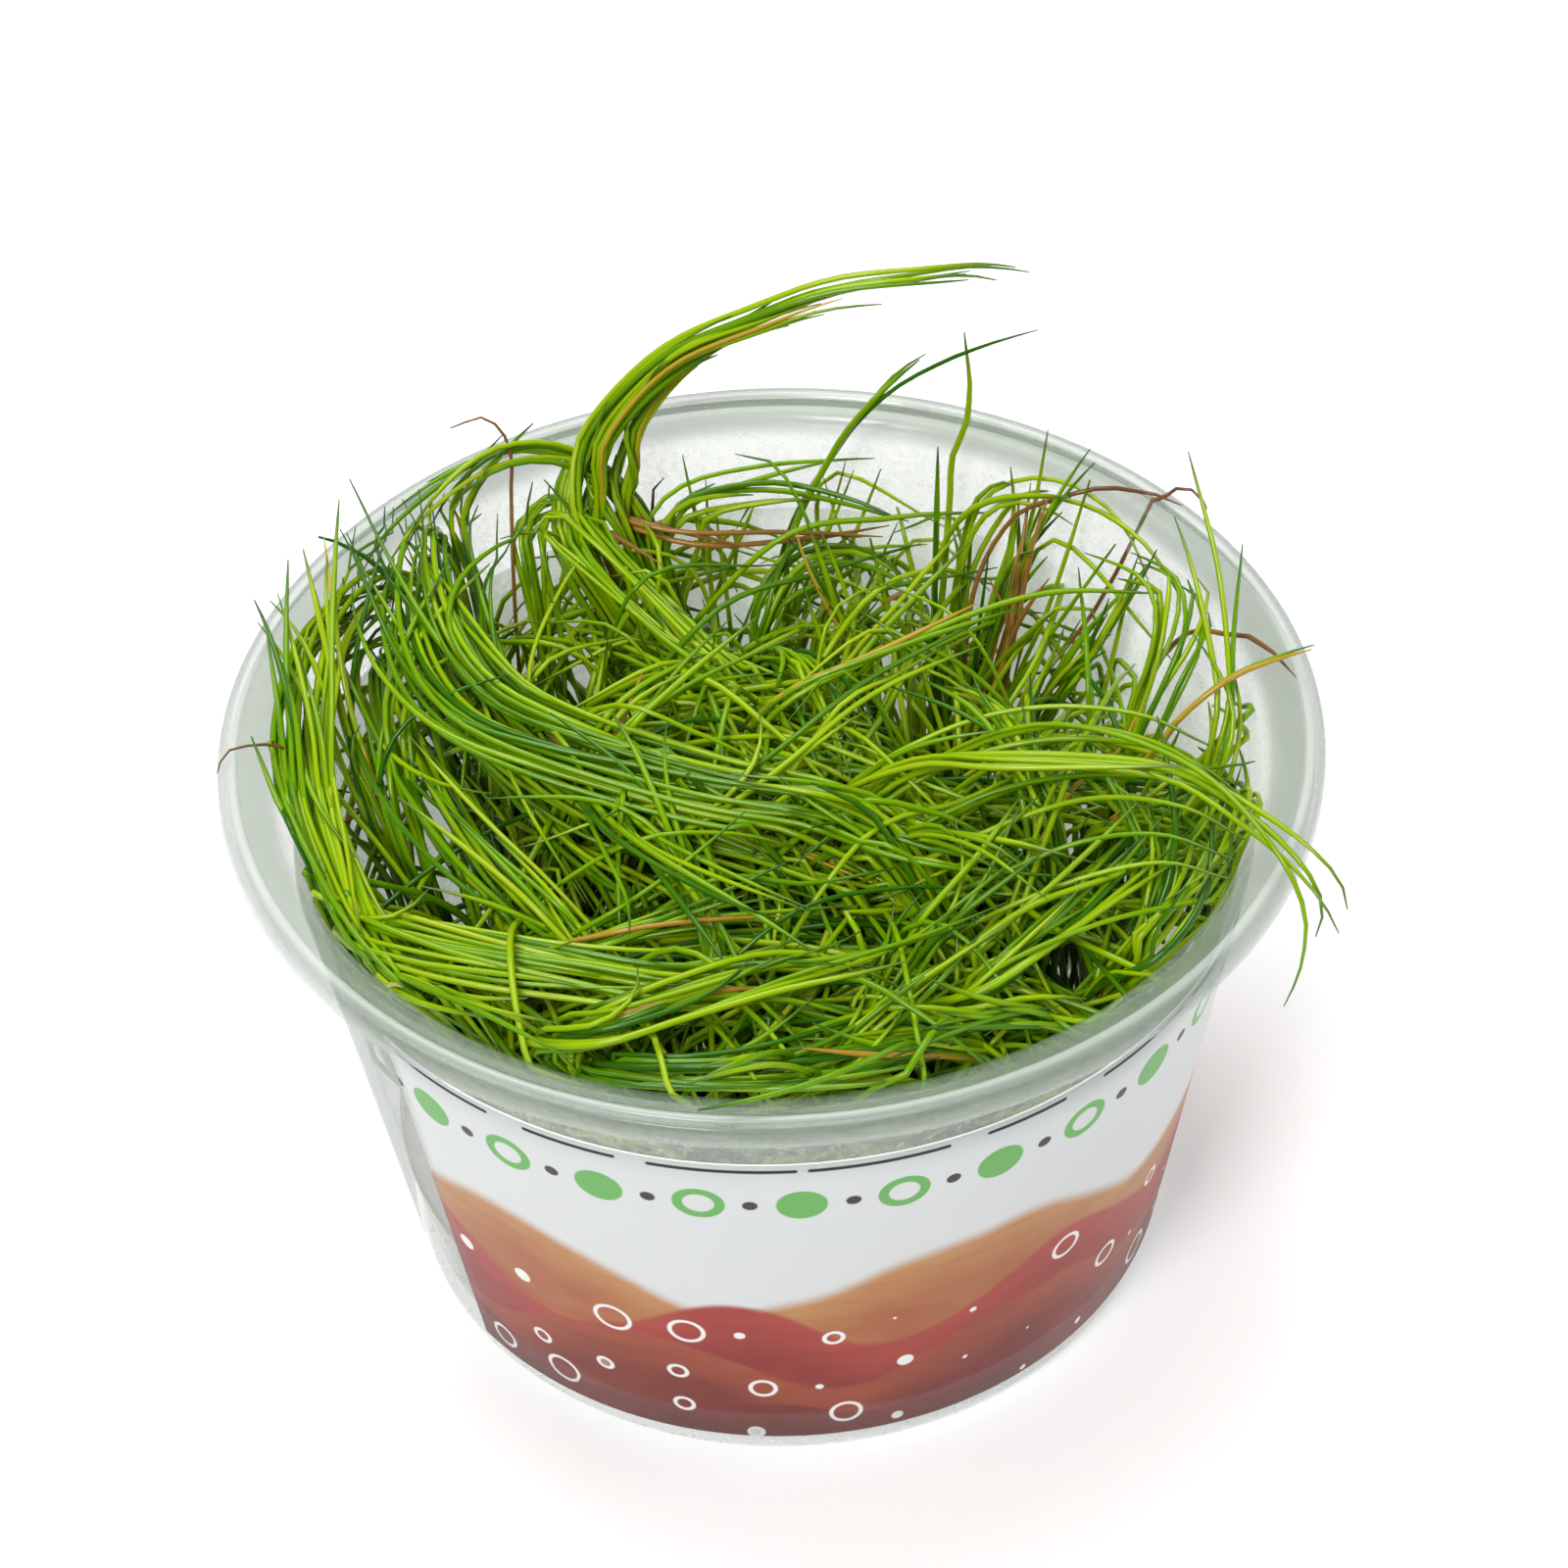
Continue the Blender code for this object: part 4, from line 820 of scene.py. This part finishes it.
def lock_blades(noise, thick, age, points, loose, at_top, number):
    """The blades of one lock: side by side, a little twisted, ending at different places."""
    spine = smooth_path(points, 56)
    bend = float(np.argmax(spine[:, 2] > spine[:, 2].max() - 2.2)) / (len(spine) - 1)
    over_rim = max(math.hypot(x, y) for x, y, _ in points) > 46.5
    length = length_of(spine)
    run = np.linspace(0, 1, len(spine))
    ahead = np.gradient(spine, axis=0)
    ahead /= np.linalg.norm(ahead, axis=1)[:, None]
    side = np.cross(ahead, (0.13, 0.21, 1.0))
    side /= np.linalg.norm(side, axis=1)[:, None]
    over = np.cross(side, ahead)
    many = int(round(1.6 + 6.0 * thick**1.5))
    if thick < 0.65:
        many = 2 if thick > 0.5 else 1
    many = number or many
    middle_tone = noise.normal(0.44, 0.08)
    made = []
    slim = 0.62 + 0.30 * max(0.0, 1.0 - loose)
    short = 0.45 + 0.30 * max(0.0, 1.0 - loose)
    for k in range(many):
        first = noise.uniform(0.0, 0.10)
        last = 1.0 if k == 0 else 1.0 - short * noise.beta(1.1, 1.9)
        turned_round = k > 0 and noise.uniform() < at_top
        if turned_round:
            first, last = last, bend + noise.uniform(0.0, 0.03)
        part = np.linspace(first, last, 26)
        gone = np.linspace(0.0, 1.0, 26)
        base = np.stack([np.interp(part, run, spine[:, j]) for j in range(3)], axis=1)
        a = np.stack([np.interp(part, run, side[:, j]) for j in range(3)], axis=1)
        b = np.stack([np.interp(part, run, over[:, j]) for j in range(3)], axis=1)
        turn = noise.uniform(0, 2 * math.pi) + noise.normal(0, 1.1) * part
        away = math.sqrt(noise.uniform(0, 1)) * thick
        wide = away * (0.6 + 0.5 * np.clip(part / 0.4, 0, 1)) * (1.12 - slim * part)
        flat = 1.0 + 1.2 * loose * np.clip((part - 0.26) / 0.25, 0, 1)
        path = base + a * (np.cos(turn) * wide * flat)[:, None]
        path += b * (np.sin(turn) * wide / flat)[:, None]
        path[:, :2] += noise.normal(0, 2.2, 2) * np.clip(1 - part / 0.26, 0, 1)[:, None]
        phase = noise.uniform(0, 6.28, 3)
        waves = noise.uniform(3.0, 8.0, 3)
        sway = np.stack([np.sin(part * w + p) for w, p in zip(waves, phase)], axis=1)
        path += sway * (0.15 + 0.85 * loose * part[:, None]) * min(1.0, thick)
        if k > 0:
            astray = noise.uniform() < 0.25 * loose
            share = 0.50 if astray else 0.30
            late = np.clip((gone - 1.0 + share) / share, 0, 1)[:, None] ** 2
            drift = noise.normal(0, 1.0, 3) * (2.1, 2.1, 1.0) * (2.6 if astray else 1.0)
            path += late * drift * loose * min(1.2, length / 50.0)
        if turned_round:
            path = rooted_far_off(noise, path)
        tone = np.clip(noise.normal(middle_tone, 0.22), 0, 1)
        old = age if noise.uniform() < (0.2 + age) else 0.0
        if age < 0.3 and noise.uniform() < 0.02:
            old = noise.uniform(0.35, 0.65)
        made.append(blade(path, noise.uniform(0.23, 0.34), tone, old, spacing=2.1,
                          over_rim=over_rim))
    return made


SPINES = [smooth_path(points, 24) for locks in LOCKS.values() for _, _, points in locks]
FLOW_AT = np.vstack([spine[:-1] for spine in SPINES])
FLOW_TO = np.vstack([np.diff(spine, axis=0) for spine in SPINES])
FLOW_TO /= np.linalg.norm(FLOW_TO, axis=1)[:, None]
HIGH = FLOW_AT[:, 2] > 48
FLOW_AT, FLOW_TO = FLOW_AT[HIGH], FLOW_TO[HIGH]


def flow(x, y):
    """Direction in which the locks near a place run, in plan."""
    weight = np.exp(-((FLOW_AT[:, 0] - x) ** 2 + (FLOW_AT[:, 1] - y) ** 2) / (2 * 6.0**2))
    run = (FLOW_TO[:, :2] * weight[:, None]).sum(axis=0)
    size = np.linalg.norm(run)
    return run / size if size > 1e-6 else np.array((1.0, 0.0))


def turned_by(heading, swing):
    """A heading in plan, turned by an angle."""
    x, y = heading
    return np.array((x * math.cos(swing) - y * math.sin(swing),
                     x * math.sin(swing) + y * math.cos(swing)))


def lawn_blade(noise, cx, cy, spread, lean, yellow):
    """A blade between the locks: up from the gel, then over with the flow of its neighbours."""
    turn = noise.uniform(0, 2 * math.pi)
    out = math.sqrt(noise.uniform(0, 1))
    foot = np.array((cx + math.cos(turn) * out * spread * 0.8,
                     cy + math.sin(turn) * out * spread * 0.8))
    reach = np.linalg.norm(foot)
    if reach > 33:
        foot *= 33 / reach
    top = foot + np.array((math.cos(turn), math.sin(turn))) * noise.uniform(0, 9.0)
    top += noise.normal(0, 3.2, 2)
    reach = np.linalg.norm(top)
    if reach > 41:
        top *= 41 / reach
    crest = lawn_height(*top) + 0.8 - abs(noise.normal(0, 6.5))
    crest = max(crest, 26.0)
    heading = turned_by(flow(*top), noise.normal(0, 0.85))
    kind = noise.uniform()
    over = noise.uniform(16, 46) * lean
    start = GEL_TOP - 2.0
    bend = foot + (top - foot) * 0.3 + noise.normal(0, 1.3, 2)
    points = [(*foot, start), (*bend, start + (crest - start) * 0.42),
              (*(top - heading * 2.0), crest - 4.5)]
    if kind < 0.06:
        # stands on through the surface
        end = top + heading * noise.uniform(2, 7)
        points += [(*end, crest + noise.uniform(2, 7))]
    elif kind < 0.16:
        # broken over, with a sharp bend
        knee = top + heading * 3.0
        down = knee + turned_by(heading, noise.normal(0, 0.9)) * noise.uniform(8, 22)
        points += [(*(top + heading * 1.0), crest + 0.5), (*knee, crest + 2.0),
                   (*(knee + (down - knee) * 0.06), crest + 1.6),
                   (*down, crest - noise.uniform(1, 7))]
    else:
        # bends over and lies on in one long curve, a few of them over all the rest
        curl = noise.normal(0, 0.26)
        rise = noise.uniform(-0.5, 2.0)
        if kind > 0.93 and np.linalg.norm(top) < 34:
            crest = lawn_height(*top) + noise.uniform(4.0, 7.0)
            over = noise.uniform(26, 46) * lean
        near = top + turned_by(heading, curl * 0.3) * over * 0.35
        middle = near + turned_by(heading, curl) * over * 0.35
        end = middle + turned_by(heading, curl * 1.7) * over * 0.30
        points += [(*near, crest + rise), (*middle, crest + rise - noise.uniform(-0.5, 2.0)),
                   (*end, crest + rise - noise.uniform(1.0, 8.0))]
    tone = np.clip(noise.normal(yellow, 0.24), 0, 1)
    age = 0.0
    if noise.uniform() < 0.014:
        age = noise.uniform(0.45, 1.0)
    return blade(points, noise.uniform(0.24, 0.35), tone, age, spacing=2.2)


def airy_blade(noise, cx, cy, yellow):
    """A thin blade that stands up nearly straight, some with their end bowed over."""
    turn = noise.uniform(0, 2 * math.pi)
    way = np.array((math.cos(turn), math.sin(turn)))
    foot = np.array((cx, cy)) + way * noise.uniform(0, 9.0)
    foot *= min(1.0, 32.0 / np.linalg.norm(foot))
    way = turned_by(way, noise.normal(0, 0.8))
    far = noise.uniform(3.0, 19.0)
    high = noise.uniform(43.0, 57.5)
    middle = foot + way * far * 0.40 + turned_by(way, 1.57) * noise.normal(0, 1.6)
    end = foot + way * far
    end *= min(1.0, 42.5 / np.linalg.norm(end))
    points = [(*foot, GEL_TOP - 2.0), (*middle, GEL_TOP + (high - GEL_TOP) * 0.55), (*end, high)]
    if noise.uniform() < 0.5:
        bowed = end + turned_by(way, noise.normal(0, 0.9)) * noise.uniform(6, 18)
        bowed *= min(1.0, 42.5 / np.linalg.norm(bowed))
        points += [(*bowed, high - noise.uniform(-2.0, 5.0))]
    tone = np.clip(noise.normal(yellow, 0.22), 0, 1)
    age = noise.uniform(0.5, 1.0) if noise.uniform() < 0.02 else 0.0
    return blade(points, noise.uniform(0.19, 0.28), tone, age, spacing=2.4)


def root_thread(noise, cx, cy):
    """A pale root that wanders down into the gel."""
    turn = noise.uniform(0, 2 * math.pi)
    steps = [(cx + noise.normal(0, 3.0), cy + noise.normal(0, 3.0), GEL_TOP + 0.5)]
    for k in range(4):
        x, y, z = steps[-1]
        turn += noise.normal(0, 0.7)
        far = noise.uniform(1.5, 4.0)
        steps.append((x + math.cos(turn) * far, y + math.sin(turn) * far,
                      max(2.4, z - noise.uniform(1.2, 3.2))))
    return [(x * min(1.0, 32.5 / max(math.hypot(x, y), 1)),
             y * min(1.0, 32.5 / max(math.hypot(x, y), 1)), z) for x, y, z in steps]


def grass_mesh(name, blades):
    """All blades of a tuft as one mesh: tapered curves turned to mesh, then their colouring."""
    data = bpy.data.curves.new(name, "CURVE")
    data.dimensions = "3D"
    data.bevel_depth = MM
    data.bevel_resolution = 1
    along, tone, age = [], [], []
    for path, width, part, one_tone, one_age in blades:
        spline = data.splines.new("POLY")
        spline.points.add(len(path) - 1)
        flat = np.empty((len(path), 4))
        flat[:, :3] = path * MM
        flat[:, 3] = 1.0
        spline.points.foreach_set("co", flat.ravel())
        spline.points.foreach_set("radius", width)
        spline.use_smooth = True
        along.append(np.repeat(part, 6))
        tone.append(np.full(len(path) * 6, one_tone))
        age.append(np.full(len(path) * 6, one_age))
    drawn = bpy.data.objects.new(name + "_curves", data)
    bpy.context.scene.collection.objects.link(drawn)
    bpy.context.view_layer.update()
    graph = bpy.context.evaluated_depsgraph_get()
    mesh = bpy.data.meshes.new_from_object(drawn.evaluated_get(graph))
    mesh.name = name
    bpy.data.objects.remove(drawn, do_unlink=True)
    bpy.data.curves.remove(data)
    for label, values in (("along", along), ("tone", tone), ("age", age)):
        values = np.concatenate(values).astype(np.float32)
        mesh.attributes.new(label, "FLOAT", "POINT").data.foreach_set("value", values)
    return mesh


def make_grass(blade_surface):
    total = 0
    for place, (name, (cx, cy)) in enumerate(CROWNS.items()):
        noise = np.random.default_rng(700 + place)
        blades = []
        for lock, (thick, age, points) in enumerate(LOCKS[name]):
            loose = LOOSENESS.get((name, lock), 1.0)
            at_top = TIPS_AT_TOP.get((name, lock), 0.0)
            number = BLADES_IN.get((name, lock))
            blades += lock_blades(noise, thick, age, points, loose, at_top, number)
        for thick, tone, age, points in STRAYS.get(name, []):
            blades.append(blade(points, thick, tone, age, tip=0.4, spacing=1.6, over_rim=True))
        many, spread, lean, yellow = LAWN[name]
        for _ in range(many):
            for _ in range(8):
                one = lawn_blade(noise, cx, cy, spread, lean, yellow)
                if name == "tuft_back_right" or not in_a_gap(one[0]):
                    break
            blades.append(one)
        for _ in range(AIRY[name]):
            for _ in range(5):
                one = airy_blade(noise, cx, cy, yellow)
                if name == "tuft_back_right" or not in_a_gap(one[0]):
                    break
            blades.append(one)
        for _ in range(14):
            blades.append(blade(root_thread(noise, cx, cy), 0.16, 1.0, 0.0, spacing=1.5))
        mesh = grass_mesh("hairgrass_" + name, blades)
        mesh.materials.clear()
        mesh.materials.append(blade_surface)
        mesh.polygons.foreach_set("material_index", np.zeros(len(mesh.polygons), np.int32))
        made = bpy.data.objects.new("hairgrass_" + name, mesh)
        bpy.context.scene.collection.objects.link(made)
        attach(made, "root")
        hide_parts(name)
        faces = sum(p.loop_total - 2 for p in mesh.polygons)
        total += faces
        print(name, len(blades), "blades", faces, "triangles")
    print("grass", total, "triangles")


# Studio
def make_studio():
    world = bpy.data.worlds.new("soft_white")
    bpy.context.scene.world = world
    world.use_nodes = True
    sky = world.node_tree.nodes["Background"]
    sky.inputs["Color"].default_value = (1.0, 1.0, 1.0, 1.0)
    sky.inputs["Strength"].default_value = 0.17
    floor_mesh = bmesh.new()
    bmesh.ops.create_grid(floor_mesh, x_segments=1, y_segments=1, size=3.0)
    mesh = bpy.data.meshes.new("studio_floor")
    floor_mesh.to_mesh(mesh)
    floor_mesh.free()
    floor = bpy.data.objects.new("studio_floor", mesh)
    floor.location = (0.0, 0.0, -0.0002)
    bpy.context.scene.collection.objects.link(floor)
    made, tree, shader = new_material("pale_floor")
    shader.inputs["Base Color"].default_value = (0.93, 0.93, 0.93, 1)
    shader.inputs["Roughness"].default_value = 0.9
    shader.inputs["Emission Color"].default_value = (1.0, 1.0, 1.0, 1)
    shader.inputs["Emission Strength"].default_value = 0.32
    mesh.materials.append(made)
    for name, place, size, power, aim in (
        ("softbox_top", (-0.10, 0.20, 0.75), 0.45, 3.6, (0, 0, 0.04)),
        ("softbox_front", (-0.28, -0.62, 0.75), 0.28, 5.3, (0, 0, 0.04)),
        ("softbox_right", (0.80, -0.10, 0.45), 0.50, 1.3, (0, 0, 0.04)),
    ):
        light = bpy.data.lights.new(name, "AREA")
        light.shape = "SQUARE"
        light.size = size
        light.energy = power
        lamp = bpy.data.objects.new(name, light)
        lamp.location = place
        lamp.rotation_euler = (Vector(aim) - Vector(place)).to_track_quat("-Z", "Y").to_euler()
        bpy.context.scene.collection.objects.link(lamp)


def make_camera():
    """Long lens from the front, looking down by 43 degrees, tipped a little to the right."""
    place = Vector((1.058, -343.83, 367.94)) * MM
    aim = Vector((1.058, 0.0, 51.0)) * MM
    data = bpy.data.cameras.new("photo_view")
    data.sensor_width = 36.0
    data.lens = 117.72
    data.clip_start = 0.01
    camera = bpy.data.objects.new("photo_view", data)
    camera.rotation_mode = "QUATERNION"
    camera.location = place
    tilt = Quaternion((0, 0, 1), math.radians(-2.105))
    camera.rotation_quaternion = (aim - place).to_track_quat("-Z", "Y") @ tilt
    bpy.context.scene.collection.objects.link(camera)
    bpy.context.scene.camera = camera
    bpy.context.scene.view_settings.view_transform = "Standard"


make_camera()
make_studio()
make_cup()
make_gel()
make_label()
make_grass(blade_material())
